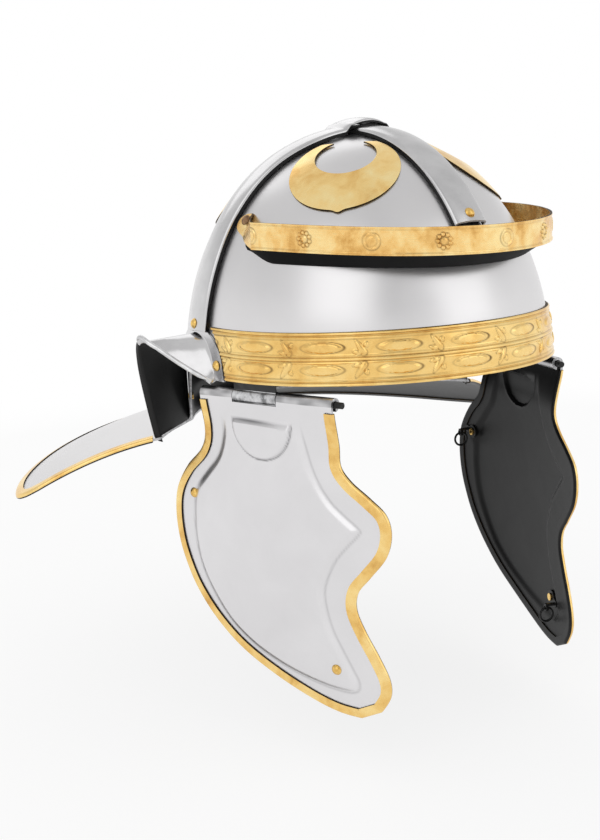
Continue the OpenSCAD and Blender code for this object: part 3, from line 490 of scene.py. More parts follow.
# A paler copy of the brass for the crescents: painted light, making up for the dim gap overhead that
# they reflect
LIT_CRESCENT_TONES = [(0.1, (0.84, 0.52, 0.17)), (0.45, (0.97, 0.7, 0.29)), (0.85, (1.0, 0.82, 0.42))]
FACING_TONES = [(0.1, (0.68, 0.38, 0.11)), (0.4, (0.88, 0.56, 0.2)), (0.85, (0.98, 0.76, 0.36))]
RIVET_TONES = [(0.2, (0.62, 0.36, 0.08)), (0.8, (0.93, 0.64, 0.22))]
OLD_BRASS_TONES = [(0.2, (0.13, 0.07, 0.04)), (0.8, (0.33, 0.2, 0.11))]
# Dark brown for the edge faces of the brass sheets: painted shade, for the shaded crease where a thin
# sheet stands off the steel
EDGE_SHADE_TONES = [(0.2, (0.02, 0.014, 0.008)), (0.8, (0.09, 0.06, 0.03))]
SATIN_PAINT_TONES = [(0.2, (0.006, 0.006, 0.006)), (0.8, (0.012, 0.012, 0.012))]
MATT_PAINT_TONES = [(0.2, (0.004, 0.004, 0.004)), (0.8, (0.008, 0.008, 0.008))]
IRON_TONES = [(0.2, (0.006, 0.006, 0.006)), (0.8, (0.02, 0.02, 0.02))]
HINGE_PAINT = (0.008, 0.008, 0.008)
# Tones of each point's darkening: on brass, patina in the engraved lines, with painted shade at one end
# of each rim oval; on the cheek's steel, painted shade along its relief and uneven darkening of its
# knuckles
BRASS_GROOVES, STEEL_GROOVES = (0.1, 0.055, 0.02), (0.16, 0.16, 0.165)
PAINT_LINE = -4.2

bowl_steel = finish("brushed_bowl_steel", BOWL_TONES, 1.0, (0.24, 0.36), patches=9.0, contrast=1.2,
                    scratches=0.05, fineness=700.0, brushed_along=0.45)
band_steel = finish("polished_band_steel", BAND_TONES, 1.0, (0.14, 0.26), patches=22.0,
                    scratches=0.08, fineness=500.0, dents=0.05, dent_size=70.0)
cheek_steel = finish("satin_cheek_steel", CHEEK_TONES, 1.0, (0.24, 0.36), patches=9.0, contrast=1.8,
                     scratches=0.05, fineness=800.0, grooves=STEEL_GROOVES)
lip_steel = finish("scratched_lip_steel", LIP_TONES, 1.0, (0.2, 0.4), patches=90.0, contrast=2.5,
                   scratches=0.3)
edge_steel = finish("cut_steel_edge", CUT_EDGE_TONES, 1.0, (0.26, 0.46), patches=300.0, contrast=2.5,
                    scratches=0.2)
sheet_brass = finish("embossed_sheet_brass", BRASS_TONES, 1.0, (0.15, 0.3), patches=30.0,
                     scratches=0.06, fineness=500.0, dents=0.1, dent_size=130.0, grooves=BRASS_GROOVES)
# Painted light: the crescents' brass is brightened against the dim reflections overhead
lit_crescent_brass = finish("brightened_crescent_brass", LIT_CRESCENT_TONES, 1.0, (0.16, 0.32), patches=42.0,
                        contrast=2.4, scratches=0.06, fineness=500.0, dents=0.1, dent_size=130.0)
facing_brass = finish("hammered_facing_brass", FACING_TONES, 1.0, (0.18, 0.36), patches=52.0,
                      contrast=3.0, scratches=0.08, fineness=500.0, dents=0.3, dent_size=190.0,
                      grooves=BRASS_GROOVES)
trim_brass = finish("polished_trim_brass", BRASS_TONES, 1.0, (0.18, 0.32), patches=38.0, contrast=2.4,
                    scratches=0.1, fineness=500.0, dents=0.16, dent_size=150.0)
rivet_brass = finish("rivet_brass", RIVET_TONES, 1.0, (0.2, 0.34), patches=260.0, contrast=2.4)
old_brass = finish("darkened_brass", OLD_BRASS_TONES, 1.0, (0.34, 0.5), patches=300.0, contrast=2.4)
# Painted shade on the edge faces of the crescents, the rim band, the brow facing and the brass edgings
painted_edge_shade = finish("painted_shade_on_edges", EDGE_SHADE_TONES, 0.6, (0.5, 0.7), patches=300.0, specular=0.2)
black_paint = finish("satin_black_paint", SATIN_PAINT_TONES, 0.0, (0.34, 0.48), patches=40.0,
                     contrast=1.8, scratches=0.05, fineness=300.0, dents=0.08, dent_size=120.0,
                     specular=0.22)
matt_black = finish("matt_black_paint", MATT_PAINT_TONES, 0.0, (0.6, 0.75), patches=40.0, contrast=1.8,
                    scratches=0.05, fineness=300.0, specular=0.1)
black_iron = finish("blackened_iron", IRON_TONES, 0.3, (0.35, 0.55), patches=300.0, specular=0.4)


def hinge_finish():
    """Bare worn steel on the rolled knuckle, and black paint on the plate above it."""
    material = finish("worn_hinge_steel", HINGE_TONES, 1.0, (0.26, 0.5), patches=130.0, contrast=3.0,
                      scratches=0.3, fineness=300.0)
    tree = material.node_tree
    shader = tree.nodes["Principled BSDF"]
    place = node(tree, "ShaderNodeTexCoord")
    split = node(tree, "ShaderNodeSeparateXYZ")
    tree.links.new(place.outputs["Object"], split.inputs[0])
    painted = math_node(tree, "GREATER_THAN", split.outputs[2], PAINT_LINE * MM)
    bare = shader.inputs["Base Color"].links[0].from_socket
    paint = node(tree, "ShaderNodeMix", {"data_type": "RGBA"})
    paint.inputs["B"].default_value = (*HINGE_PAINT, 1)
    tree.links.new(painted, paint.inputs["Factor"])
    tree.links.new(bare, paint.inputs["A"])
    tree.links.new(paint.outputs["Result"], shader.inputs["Base Color"])
    tree.links.new(math_node(tree, "SUBTRACT", 1.0, painted), shader.inputs["Metallic"])
    return material


hinge_steel = hinge_finish()

# Bowl

BOWL_COLUMNS, WALL_ROWS, DOME_ROWS = 240, 40, 44
WALL_TOP = RIM_BAND_HEIGHT + 2
WAVINESS, WAVE_SIZE, WAVE_REACH = 0.04, 40, 110


def bowl_grid(out):
    grid = []
    for row in range(WALL_ROWS + DOME_ROWS):
        line = []
        for k in range(BOWL_COLUMNS):
            a = k * 360 / BOWL_COLUMNS
            a = a - 360 if a > 180 else a
            if row <= WALL_ROWS:
                z = lerp(rim_level(a), WALL_TOP, row / WALL_ROWS)
            else:
                climb = math.sin(math.radians(90 * (row - WALL_ROWS) / DOME_ROWS))
                z = lerp(WALL_TOP, CROWN + out, climb)
            p = at_level(a, z, out + nape_bulge(a, z))
            wave = WAVINESS * (ripple(p, WAVE_SIZE, 3.1) - 1)
            line.append(p * (1 + wave / WAVE_REACH))
        grid.append(line)
    return np.array(grid)


make("bowl", Shape().sheet(bowl_grid(0), bowl_grid(-STEEL), ring=True, cap=True),
     [bowl_steel, black_paint, edge_steel], "helmet", ["skull_bowl"])

# Crossed bands

BAND_WIDTH, BAND_HEIGHT, BAND_EDGE, BAND_CROWN = 21.0, 4.6, 1.8, 1.2
FRONT_TILT, REAR_TILT = 47.0, -73.0
SIDE_BAND_END, SIDE_LEAN, LEAN_SPAN = 23.5, 11.5, 78
LEAN_COURSE = [-0.03, 0.12, 0.5, 0.74, 0.88, 0.98, 1]
BRIDGE, BRIDGE_RAMP, BRIDGE_SWELL = BAND_HEIGHT + SEAT, 4.8, 0.8
SIDE_TILT = math.degrees(math.atan2(BOWL_B * level_share(SIDE_BAND_END), SIDE_BAND_END - WAIST))
CORNER_STEPS = 6
CROSSING_FLAT, CROSSING_ROUND = 0.34, 0.3


def dome_radius(ray):
    """Distance of the dome from the middle of the waist along a ray."""
    return float(np.linalg.norm(on_dome(ray) - np.array([0, 0, WAIST])))


def fore_aft_ray(tilt):
    t = math.radians(tilt)
    return np.array([0, -math.sin(t), math.cos(t)])


def side_ray(tilt):
    t = math.radians(tilt)
    share = float(along(np.array(LEAN_COURSE)[:, None], abs(tilt) / LEAN_SPAN)[0])
    return np.array([-math.sin(t), math.tan(math.radians(SIDE_LEAN)) * share, math.cos(t)])


def band_section(inner):
    """Points across a band: distance from its middle line and height above the bowl."""
    t = STEEL - 0.2 if inner else 0.0
    w, h = BAND_WIDTH / 2 - t, BAND_HEIGHT - t
    e = max(0.3, BAND_EDGE - t)
    half = [(w, BAND_SEAT), (w, lerp(BAND_SEAT, h - e, 0.5))]
    for k in range(CORNER_STEPS + 1):
        a = math.radians(90 * k / CORNER_STEPS)
        half.append((w - e + e * math.cos(a), h - e + e * math.sin(a)))
    half += [(x, h) for x in np.linspace(w - e, 0, 8)[1:]]
    half = [(x, y - BAND_CROWN * (x / w) ** 2 * max(0.0, y - 1) / h) for x, y in half]
    return half + [(-x, y) for x, y in half[-2::-1]]


def band_row(tilt, inner, ray_at, direction, lift=0.0, strip=0.0, flat=0.0):
    """Points across a band at a tilt: lift raises it all, strip only its feet, and flat squashes it."""
    ray = ray_at(tilt)
    reach = dome_radius(ray)
    rows = []
    for x, y in band_section(inner):
        if y > BAND_SEAT:
            height = y * (1 - flat) + lift
        else:
            height = y + lift + (strip if y == BAND_SEAT else 0)
        rows.append(on_dome(ray + np.array(direction) * x / reach, height))
    return rows


def crossing(tilt):
    """How far the side band is lifted over the other one, and how much it is squashed there."""
    x = dome_radius(side_ray(tilt)) * math.sin(math.radians(abs(tilt)))
    lifted = float(ease((BAND_WIDTH / 2 + 1 + BRIDGE_RAMP - x) / BRIDGE_RAMP))
    off_middle = (2 * x / BAND_WIDTH) ** 2
    lift = BRIDGE * lifted + BRIDGE_SWELL * max(0.0, 1 - off_middle)
    return lift, lifted * (CROSSING_FLAT + CROSSING_ROUND * min(1.0, off_middle))


def side_row(tilt, inner):
    strip = (STEEL + SEAT) * float(ease((abs(tilt) - SIDE_TILT + 9) / 3))
    lift, flat = crossing(tilt)
    return band_row(tilt, inner, side_ray, (0, 1, 0), lift, strip, flat)


def fore_aft_row(tilt, inner):
    return band_row(tilt, inner, fore_aft_ray, (1, 0, 0))


def strap(row_at, tilts):
    # The side walls of a band take the black paint finish: painted shade, for walls that stand in shade
    cells = len(band_section(False)) - 1
    shaded_walls = [1 if k < 2 or k > cells - 3 else 0 for k in range(cells)]
    return Shape().sheet([row_at(t, False) for t in tilts], [row_at(t, True) for t in tilts],
                         column_slots=shaded_walls)


fore_aft_tilts = np.linspace(FRONT_TILT, REAR_TILT, 150)
side_tilts = np.concatenate([np.linspace(-SIDE_TILT, -11, 90), np.linspace(-10.7, 10.7, 60),
                             np.linspace(11, SIDE_TILT, 90)])
STRAP_FINISHES = [band_steel, black_paint, edge_steel]
make("fore_aft_strap", strap(fore_aft_row, fore_aft_tilts), STRAP_FINISHES, "helmet",
     ["fore_aft_band"])
make("side_strap", strap(side_row, side_tilts), STRAP_FINISHES, "helmet",
     ["side_band"])

# Crescents

CRESCENT_RADIUS, HOLLOW_RADIUS, HOLLOW_OFFSET, HORN_ANGLE = 30.6, 16.4, 10.8, 151
NUB_HEIGHT, NUB_SPREAD = 1.6, 5
CRESCENT_PLACES = {"front": (26.2, 46.8), "rear": (31.5, 141)}


def crescent(tilt, bearing):
    """Crescent of sheet on the dome, its middle at a tilt from the crown and a bearing."""
    tilt, bearing = math.radians(tilt), math.radians(bearing)
    middle = np.array([-math.sin(tilt) * math.sin(bearing), -math.sin(tilt) * math.cos(bearing),
                       math.cos(tilt)])
    up = unit(np.array([0, 0, 1]) - middle * middle[2])
    aside = np.cross(up, middle)
    reach = dome_radius(middle)
    grids = {}
    for out in (SEAT, SEAT + BRASS):
        rows = []
        for angle in np.linspace(-HORN_ANGLE, HORN_ANGLE, 150):
            a = math.radians(angle)
            turn = np.array([math.sin(a), -math.cos(a)])
            nub = NUB_HEIGHT * math.exp(-(angle / NUB_SPREAD) ** 2)
            rim = (CRESCENT_RADIUS + nub) * turn
            hollow = np.array([0, HOLLOW_OFFSET]) + HOLLOW_RADIUS * turn
            line = []
            for s in np.linspace(0, 1, 16):
                p = lerp(rim, hollow, s)
                dent = 0.05 * ripple((p[0], p[1], bearing), 6) if out > SEAT else 0
                line.append(on_dome(middle + (aside * p[0] + up * p[1]) / reach, out + dent))
            rows.append(line)
        grids[out] = rows
    # The crescent's edge faces take the painted edge shade
    return Shape().sheet(grids[SEAT + BRASS], grids[SEAT], slots=(0, 0, 1))


for where, (tilt, bearing) in CRESCENT_PLACES.items():
    for side, side_name in SIDE_NAMES.items():
        make(f"crescent_{where}_{side_name}_sheet", crescent(tilt, side * bearing),
             [lit_crescent_brass, painted_edge_shade], "helmet", [f"crescent_{where}_{side_name}"],
             edge=0.15)

# Rim band

RIM_ENDS = (85.2, 87.6, 93.4)
RIM_RELIEF = 0.9
OVAL_PITCH, OVAL_FIRST = 21.4, 9.9
OVAL_HALF_LENGTH, OVAL_HALF_HEIGHT = 10.9, 2.75
ROW_SHARES = (0.3, 0.715)
# Millimetres to a degree round the rim, for the ornament and for the wear
ORNAMENT_ARC, WEAR_ARC = 1.87, 1.9
RIM_BEADS = ((0.025, 0.03, 0.9), (0.105, 0.02, 0.6), (0.5, 0.03, 0.9), (0.435, 0.018, 0.4),
             (0.565, 0.018, 0.4), (0.895, 0.02, 0.6), (0.972, 0.03, 0.95))
RIM_GROOVES, GROOVE_WIDTH = (0.06, 0.132, 0.466, 0.534, 0.868, 0.937), 0.008


def bead(t, middle, half, height):
    return height * math.sqrt(max(0.0, 1 - ((t - middle) / half) ** 2))


def rim_groove(t):
    return max(math.exp(-((t - at) / GROOVE_WIDTH) ** 2) for at in RIM_GROOVES)


def rim_profile(t):
    return max(bead(t, *place) for place in RIM_BEADS)


def leaf(dx, dz, turn, length, width):
    """Positive inside a leaf-shaped boss, zero on its outline and negative outside."""
    c, s = math.cos(turn), math.sin(turn)
    u, v = (dx * c + dz * s) / length, (-dx * s + dz * c) / width
    return 1 - u * u - v * v * (1 + 0.6 * max(-1.0, min(1.0, u)))


def knot(kx, dz, lean):
    """Height and groove of a twisted knot: a leaning ribbon, a small leaf and a bud."""
    height, groove = 0.0, 0.0
    bosses = ((leaf(kx, dz, lean * 0.95, 4.4, 1.5), 1.0),
              (leaf(kx - 2.0, dz + lean * 2.4, lean * 0.2, 2.3, 1.1), 0.8),
              (leaf(kx + 2.8, dz - lean * 1.3, 0, 1.3, 1.2), 0.75))
    for value, tall in bosses:
        height = max(height, tall * math.sqrt(max(0.0, value)))
        groove = max(groove, math.exp(-((value + 0.3) / 0.22) ** 2))
    return height, groove * (0.0 if height > 0.3 else 1.0)


def rim_ornament(bearing, t):
    """Height of the pointed ovals and of the knots between them, and their darkening: patina in the
    outlines, with painted shade at one end of each oval.
    """
    step = (bearing - OVAL_FIRST) / OVAL_PITCH
    dx = (step - round(step)) * OVAL_PITCH * ORNAMENT_ARC
    relief, patina_and_shade = 0.0, 0.0
    half_pitch = OVAL_PITCH * ORNAMENT_ARC / 2
    kx = abs(dx) - half_pitch
    kx = kx if dx > 0 else -kx
    for row, share in enumerate(ROW_SHARES):
        dz = (t - share) * RIM_BAND_HEIGHT
        if abs(dz) > 6.5:
            continue
        f = math.hypot(dx / OVAL_HALF_LENGTH, dz / OVAL_HALF_HEIGHT)
        relief += 0.75 * float(ease((1.0 - f) / 0.28)) - 0.3 * math.exp(-((f - 1.1) / 0.1) ** 2)
        # Painted shade: each oval's outline grows darker towards one end, as if that end faced away from
        # the light
        shaded_end = 0.75 - 0.35 * dx / OVAL_HALF_LENGTH
        patina_and_shade += shaded_end * math.exp(-((f - 1.08) / 0.07) ** 2)
        height, groove = knot(kx, dz, 1 if row else -1)
        relief += height - 0.15 * groove
        patina_and_shade += 0.65 * groove
    return relief, min(1.0, patina_and_shade)


def rim_band():
    face, back, shade = [], [], []
    for t in np.linspace(0, 1, 66):
        front_line, back_line, tone = [], [], []
        end = float(np.interp(t, (0, 0.5, 1), RIM_ENDS))
        for a in np.linspace(-end, end, 720):
            z = rim_level(a) + t * RIM_BAND_HEIGHT
            relief, patina_and_shade = rim_ornament(a, t)
            x = a * WEAR_ARC
            wear = 0.14 * ripple((x, z, 0), 7, 1.7) + 0.1 * ripple((x, z, 0), 22, 4.2)
            rise = max(rim_profile(t) * RIM_RELIEF, relief)
            front_line.append(at_level(a, z, SEAT + BRASS + rise + wear))
            back_line.append(at_level(a, z, SEAT))
            uneven = 0.75 + 0.5 * ripple((x, z, 3), 9)
            tone.append(min(1.0, patina_and_shade * uneven + 0.55 * rim_groove(t)))
        face.append(front_line)
        back.append(back_line)
        shade.append(tone)
    return Shape().sheet(face, back, slots=(0, 0, 1), patina_and_shade=shade)


make("rim_band_relief", rim_band(), [sheet_brass, painted_edge_shade], "helmet", ["rim_band"],
     edge=0.15)

# Brow guard

FACING_END, FACING_LEVEL, FACING_HEIGHT, FACING_DIP = 84, 69.0, 14.0, 5.0
SHELF_END = FACING_END - 1
BROW_REACH, BROW_SIDE_REACH = 22.5, 5.5
ROOT_LEVEL = FACING_LEVEL - 7
TAB_REACH = 9.5
FOLD, TAB_SEAT = 77.0, 86.9
TAB_STAGES = [[0, 0, FACING_HEIGHT], [0.3, 2.2, FACING_HEIGHT + 1.6],
              [0.7, 6.4, FACING_HEIGHT + 3.2], [1, 10, FACING_HEIGHT + 1.2]]
ROUNDED_FROM, CORNER_CUT = 0.8, 2.0


def brow_dip(bearing):
    return FACING_DIP * math.cos(math.radians(bearing)) ** 2


def facing_point(bearing, z, more=0.0):
    """Point on the free edge of the brow guard, which stands furthest out at the brow."""
    away = lerp(BROW_SIDE_REACH, BROW_REACH, math.cos(math.radians(bearing)) ** 2)
    p = beside(bearing, FACING_LEVEL, away + more)
    return np.array([p[0], p[1], z - brow_dip(bearing)])


def brow_edge(bearing, z, more=0.0):
    """The facing's course, which turns in to the bowl behind its fold."""
    turned = min(1.0, max(0.0, (abs(bearing) - FOLD) / (TAB_SEAT - FOLD)))
    seated = at_level(bearing, z, max(more, 0.0) + SEAT)
    return lerp(facing_point(bearing, z, more), seated, turned)


def brow_shelf():
    bearings = np.linspace(-SHELF_END, SHELF_END, 220)

    def root(a):
        level = lerp(FACING_LEVEL - 1, ROOT_LEVEL, float(ease((FACING_END - abs(a)) / 14)))
        return at_level(a, level - brow_dip(a), SEAT)

    shelf = np.array([[lerp(root(a), brow_edge(a, FACING_LEVEL + 1, -SEAT), s) for a in bearings]
                      for s in np.linspace(0, 1, 14)])
    return Shape().sheet(shelf + np.array([0, 0, STEEL]), shelf, slots=(0, 1, 1))


facing_bearings = np.linspace(-FOLD, FOLD, 620)
facing_line = np.array([facing_point(a, 0) for a in facing_bearings])
facing_length = np.r_[0, np.cumsum(np.linalg.norm(np.diff(facing_line, axis=0), axis=1))]
facing_length -= facing_length[-1] / 2
STUD_PITCH, STUD_SIZE, STUD_LIMIT = 35.5, 0.74, 7.5
ROSETTE_BEADS, BEAD_RING, BEAD_RADIUS, ROSETTE_EYE = 9, 4.4, 1.35, 2.1


def stud_relief(x, z):
    """Height and patina of the plain rings and beaded rosettes, by turns along the facing."""
    k = round(x / STUD_PITCH)
    dx = x - k * STUD_PITCH
    dx, z = dx / STUD_SIZE, z / STUD_SIZE
    r = math.hypot(dx, z)
    if r > STUD_LIMIT:
        return 0.0, 0.0
    if k % 2 == 0:
        height = max(0.7 * math.exp(-((r - 4.9) / 0.8) ** 2), 0.3 * float(ease((3.9 - r) / 1.5)))
        return height, (0.6 * math.exp(-((r - 6.1) / 0.4) ** 2)
                        + 0.35 * math.exp(-((r - 3.7) / 0.4) ** 2))
    turn = math.atan2(z, dx)
    step = 2 * math.pi / ROSETTE_BEADS
    near = turn - round(turn / step) * step
    bead_distance = math.hypot(r * math.cos(near) - BEAD_RING, r * math.sin(near))
    height = max(bead(bead_distance, 0, BEAD_RADIUS, 0.95), bead(r, 0, ROSETTE_EYE, 0.6))
    return height, (0.7 * math.exp(-((bead_distance - 1.6) / 0.34) ** 2)
                    + 0.5 * math.exp(-((r - 2.5) / 0.32) ** 2))


def facing_tab(side):
    """Tab that runs on from the facing's fold to its rivet on the bowl, with rounded free corners."""
    stages = np.array(TAB_STAGES, float)
    grids = {}
    for out in (0, BRASS):
        rows = []
        for t in np.linspace(0, 1, 16):
            line = []
            for g in np.linspace(0, 1, 26):
                stage = along(stages, g)
                past = (g - ROUNDED_FROM) / (1 - ROUNDED_FROM)
                corner = 0.0 if past < 0 else 1 - math.sqrt(max(0.0, 1 - past ** 2))
                low, high = stage[1] + corner * CORNER_CUT, stage[2] - corner * CORNER_CUT
                z = FACING_LEVEL + lerp(low, high, t)
                bearing = lerp(FOLD - 0.3, FACING_END + TAB_REACH, stage[0])
                line.append(brow_edge(side * bearing, z, out))
            rows.append(line)
        grids[out] = rows
    return grids[BRASS], grids[0]


def brow_facing():
    face, back, shade = [], [], []
    for share in np.linspace(0, 1, 38):
        z = (share - 0.5) * FACING_HEIGHT
        from_middle = abs(share - 0.5)
        rim = 0.45 * float(ease((from_middle - 0.41) / 0.03))
        border_line = 0.3 * math.exp(-((from_middle - 0.4) / 0.012) ** 2)
        line, tone = [], []
        for a, x in zip(facing_bearings, facing_length):
            dent = 0.2 * ripple((x, z, 5), 5.5) + 0.16 * ripple((x, z, 5), 16)
            stud, patina_and_shade = stud_relief(x, z)
            level = FACING_LEVEL + share * FACING_HEIGHT
            line.append(facing_point(a, level, BRASS + max(rim, stud) + dent))
            uneven = 0.7 + 0.6 * ripple((x, z, 1), 7)
            tone.append(min(1.0, patina_and_shade * uneven + border_line))
        face.append(line)
        back.append([facing_point(a, FACING_LEVEL + share * FACING_HEIGHT) for a in facing_bearings])
        shade.append(tone)
    shape = Shape().sheet(face, back, slots=(0, 0, 1), patina_and_shade=shade)
    for side in (1, -1):
        shape.sheet(*facing_tab(side), slots=(0, 0, 1))
    return shape


make("brow_shelf", brow_shelf(), [bowl_steel, matt_black], "helmet", ["brow_guard"])
make("brow_facing_relief", brow_facing(), [facing_brass, painted_edge_shade], "helmet",
     ["brow_guard_facing"], edge=0.15)

# Neck guard

NECK_REACH, WING_REACH, NECK_FALL, WING_FALL, NECK_SWEEP = 80.0, 102.0, 18.0, 34.0, 1.8
NECK_OUTLINE = [[180, 1], [161, 1.02], [146, 1], [133, 1], [122.5, 1.01], [116, 1], [113.3, 0.955],
                [112.1, 0.88]]
NECK_ROOT = [[180, 0], [161, 0], [146, 0], [133, 0], [126, 0.4], [120, 4], [113, 13], [107.3, 21]]
NECK_SLOPE = NECK_FALL / (NECK_REACH / BOWL_A) ** NECK_SWEEP
WING_SLOPE = WING_FALL / (WING_REACH / BOWL_B) ** NECK_SWEEP


def neck_level(p):
    """Level of the neck guard's top at a place, falling more the further out it is."""
    beyond = max(0.0, math.hypot(p[0] / BOWL_B, p[1] / BOWL_A) - 1)
    slope = lerp(NECK_SLOPE, WING_SLOPE, min(1.0, abs(p[0]) / (BOWL_B + 0.8 * WING_REACH)) ** 2)
    return -NECK_DROP - TOUCH - slope * beyond ** NECK_SWEEP


def neck_point(s, share):
    """Point on the neck guard: s goes from -1 over the middle to 1, and share outward to its edge."""
    side = -1 if s < 0 else 1
    outer, root = along(NECK_OUTLINE, abs(s)), along(NECK_ROOT, abs(s))
    reach = lerp(NECK_REACH, WING_REACH, float(ease((180 - outer[0]) / 60)))
    edge = beside(side * outer[0], 0, reach * outer[1])
    inner = beside(side * root[0], 0, root[1] - STEEL * float(ease(1 - root[1] / 2)))
    p = lerp(inner, edge, share)
    return np.array([p[0], p[1], neck_level(p)])


neck_stations = np.linspace(-1, 1, 201)
neck_grid = np.array([[neck_point(s, t) for s in neck_stations] for t in np.linspace(0, 1, 40)])
make("neck_plate", Shape().sheet(neck_grid, neck_grid - np.array([0, 0, STEEL])),
     [bowl_steel, black_paint, edge_steel], "helmet", ["neck_guard"])

# Folded brass edging

EDGE_FIT, EDGING_SHEET, EDGING_COVER = 0.25, 0.6, 4.6
FLANGE_POINTS, FOLD_STEPS = 5, 7


def edge_channel(edge, inward, up, thickness, drift):
    """Channel that folds over a sheet's edge, with a rounded fold. Its hidden flange is painted."""
    h = thickness / 2 + EDGE_FIT
    outer, inner = [], []
    for p, side, normal, shift in zip(edge, inward, up, drift):
        middle = p - normal * thickness / 2
        for out, rows in ((0.0, inner), (EDGING_SHEET, outer)):
            border = middle + side * EDGING_COVER + shift
            foot = middle - side * (EDGE_FIT + out)
            radius = min(0.9 * (h + out), h + out - 0.02)
            flange = np.linspace(0, 1, FLANGE_POINTS)
            line = [lerp(border, foot + side * radius, t) + normal * (h + out) for t in flange]
            for k in range(1, FOLD_STEPS):
                a = math.pi * k / FOLD_STEPS
                line.append(foot + side * radius * (1 - math.sin(a)) + normal * (h + out) * math.cos(a))
            line += [lerp(foot + side * radius, border, t) - normal * (h + out) for t in flange]
            rows.append(line)
    half_fold = FOLD_STEPS // 2
    painted = ([0] * (FLANGE_POINTS + half_fold)
               + [2] * (FLANGE_POINTS - 1 + FOLD_STEPS - half_fold - 1))
    return Shape().sheet(outer, inner, slots=(0, 2, 1), column_slots=painted)


def neck_edging():
    front = np.linspace(0.07, 0.97, 26)
    edge = np.array([neck_point(1, t) for t in front]
                    + [neck_point(s, 1) for s in np.linspace(1, -1, 260)]
                    + [neck_point(-1, t) for t in front[::-1]])
    course = unit(np.gradient(edge, axis=0))
    level = unit(np.stack([course[:, 1], -course[:, 0], np.zeros(len(edge))], -1))
    ahead = edge + EDGING_COVER * level
    ahead[:, 2] = [neck_level(q) for q in ahead]
    inward = unit(ahead - edge)
    return edge_channel(edge, inward, np.tile([0, 0, 1.0], (len(edge), 1)), STEEL,
                        np.zeros((len(edge), 3)))


make("neck_edging_fold", neck_edging(), [trim_brass, painted_edge_shade, black_paint], "helmet",
     ["neck_guard_edging"], edge=0.12)

# Ear guards

EAR_FOOT, EAR_REACH, EAR_LIP, EAR_ROUNDING = 8.0, 30.0, 3.6, 2.6
EAR_TURN = math.degrees(EAR_FOOT / BOWL_B)
# Bearing and level of the guard's bend and of its edge on the bowl, and bearing, reach and level of
# its lip, each from the front round the top to the back
EAR_ROOT = [[90.5, -1], [93, 12], [98, 19.5], [106, 20.5], [114, 12], [120, -8],
            [123, -NECK_DROP + 0.6]]
EAR_EDGE = [[90.5 - EAR_TURN, -1], [93 - EAR_TURN, 15], [96.5, 19 + EAR_FOOT * 0.7],
            [106, 20.5 + EAR_FOOT * 0.62], [117.5, 17], [120 + EAR_TURN, -6],
            [123 + EAR_TURN, -NECK_DROP + 0.6]]
EAR_LIP_LINE = [[90, 0.18, -3], [97, 0.42, 6], [102.5, 0.75, 14.5], [105.5, 1.01, 18], [106.5, 1, 8],
                [107, 0.87, -14], [107.5, 0.7, -NECK_DROP - 5]]
EAR_ROWS = 110
LIP_COLUMNS, LIP_ROWS, ROLL_FROM = 4, 58, 3
ROLL_RADIUS, ROLL_OUT = 1.3, 0.2


def tube(shape, path, radii, slot, around=14):
    """Adds a round bar along a path to the shape, closed at both ends."""
    path = np.asarray(path, float)
    course = unit(np.gradient(path, axis=0))
    side = unit(np.cross(course, np.array([0.3, 0.2, 1.0])))
    rise = np.cross(side, course)
    angles = np.linspace(0, 2 * math.pi, around + 1)[:-1]
    points = [p + r * (math.cos(a) * s + math.sin(a) * u)
              for p, r, s, u in zip(path, radii, side, rise) for a in angles]
    faces = []
    for i in range(0, (len(path) - 1) * around, around):
        for j in range(around):
            turned = (j + 1) % around
            faces.append((i + j, i + turned, i + around + turned, i + around + j))
    faces += [tuple(range(around))[::-1], tuple((len(path) - 1) * around + j for j in range(around))]
    shape.add(points, faces, [slot] * len(faces), [(0.0, float(k)) for k in range(len(points))])


def ear_guard():
    rows = []
    for t in np.linspace(0, 1, EAR_ROWS):
        edge, root, lip = along(EAR_EDGE, t), along(EAR_ROOT, t), along(EAR_LIP_LINE, t)
        plan = beside(lip[0], 0, lip[1] * EAR_REACH)
        lip_point = np.array([plan[0], plan[1], max(lip[2], neck_level(plan) + 0.7)])
        root_point = at_level(root[0], root[1], SEAT)
        half_way, near_root = lerp(edge, root, 0.5), lerp(edge, root, 0.92)
        rows.append([at_level(*edge, SEAT), at_level(*half_way, SEAT), at_level(*near_root, SEAT + 0.1),
                     lerp(root_point, lip_point, 0.1), lerp(root_point, lip_point, 0.55), lip_point])
    rows = np.array(rows)
    outward = grid_normals(rows)[:, -1]
    rows = np.concatenate([rows, (rows[:, -1] + outward * EAR_LIP)[:, None]], 1)
    face = np.array([rounded(r, EAR_ROUNDING, 6) for r in rows])
    # The inner side is painted, apart from the front part of the lip
    cells = face.shape[1] - 1
    painted = [[0 if i < LIP_ROWS and j >= cells - LIP_COLUMNS else 1 for j in range(cells)]
               for i in range(EAR_ROWS - 1)]
    shape = Shape().sheet(face + grid_normals(face) * (STEEL - 0.2), face, back_slots=painted)
    lip, before = rows[ROLL_FROM:LIP_ROWS, -1], rows[ROLL_FROM:LIP_ROWS, -2]
    roll = lip + unit(lip - before) * ROLL_OUT
    shares = np.linspace(0, 1, len(roll))
    tube(shape, roll, ROLL_RADIUS * np.sqrt(np.clip(12 * shares * (1 - shares), 0.03, 1)), 2)
    return shape


ear_shape = ear_guard()
for side, side_name in SIDE_NAMES.items():
    make(f"ear_flare_{side_name}", ear_shape if side == RIGHT else ear_shape.mirrored(),
         [band_steel, black_paint, lip_steel], "helmet", [f"ear_guard_{side_name}"])

# Cheek guards, in a frame on the hinge: X forward along the pin, Y outward, Z up

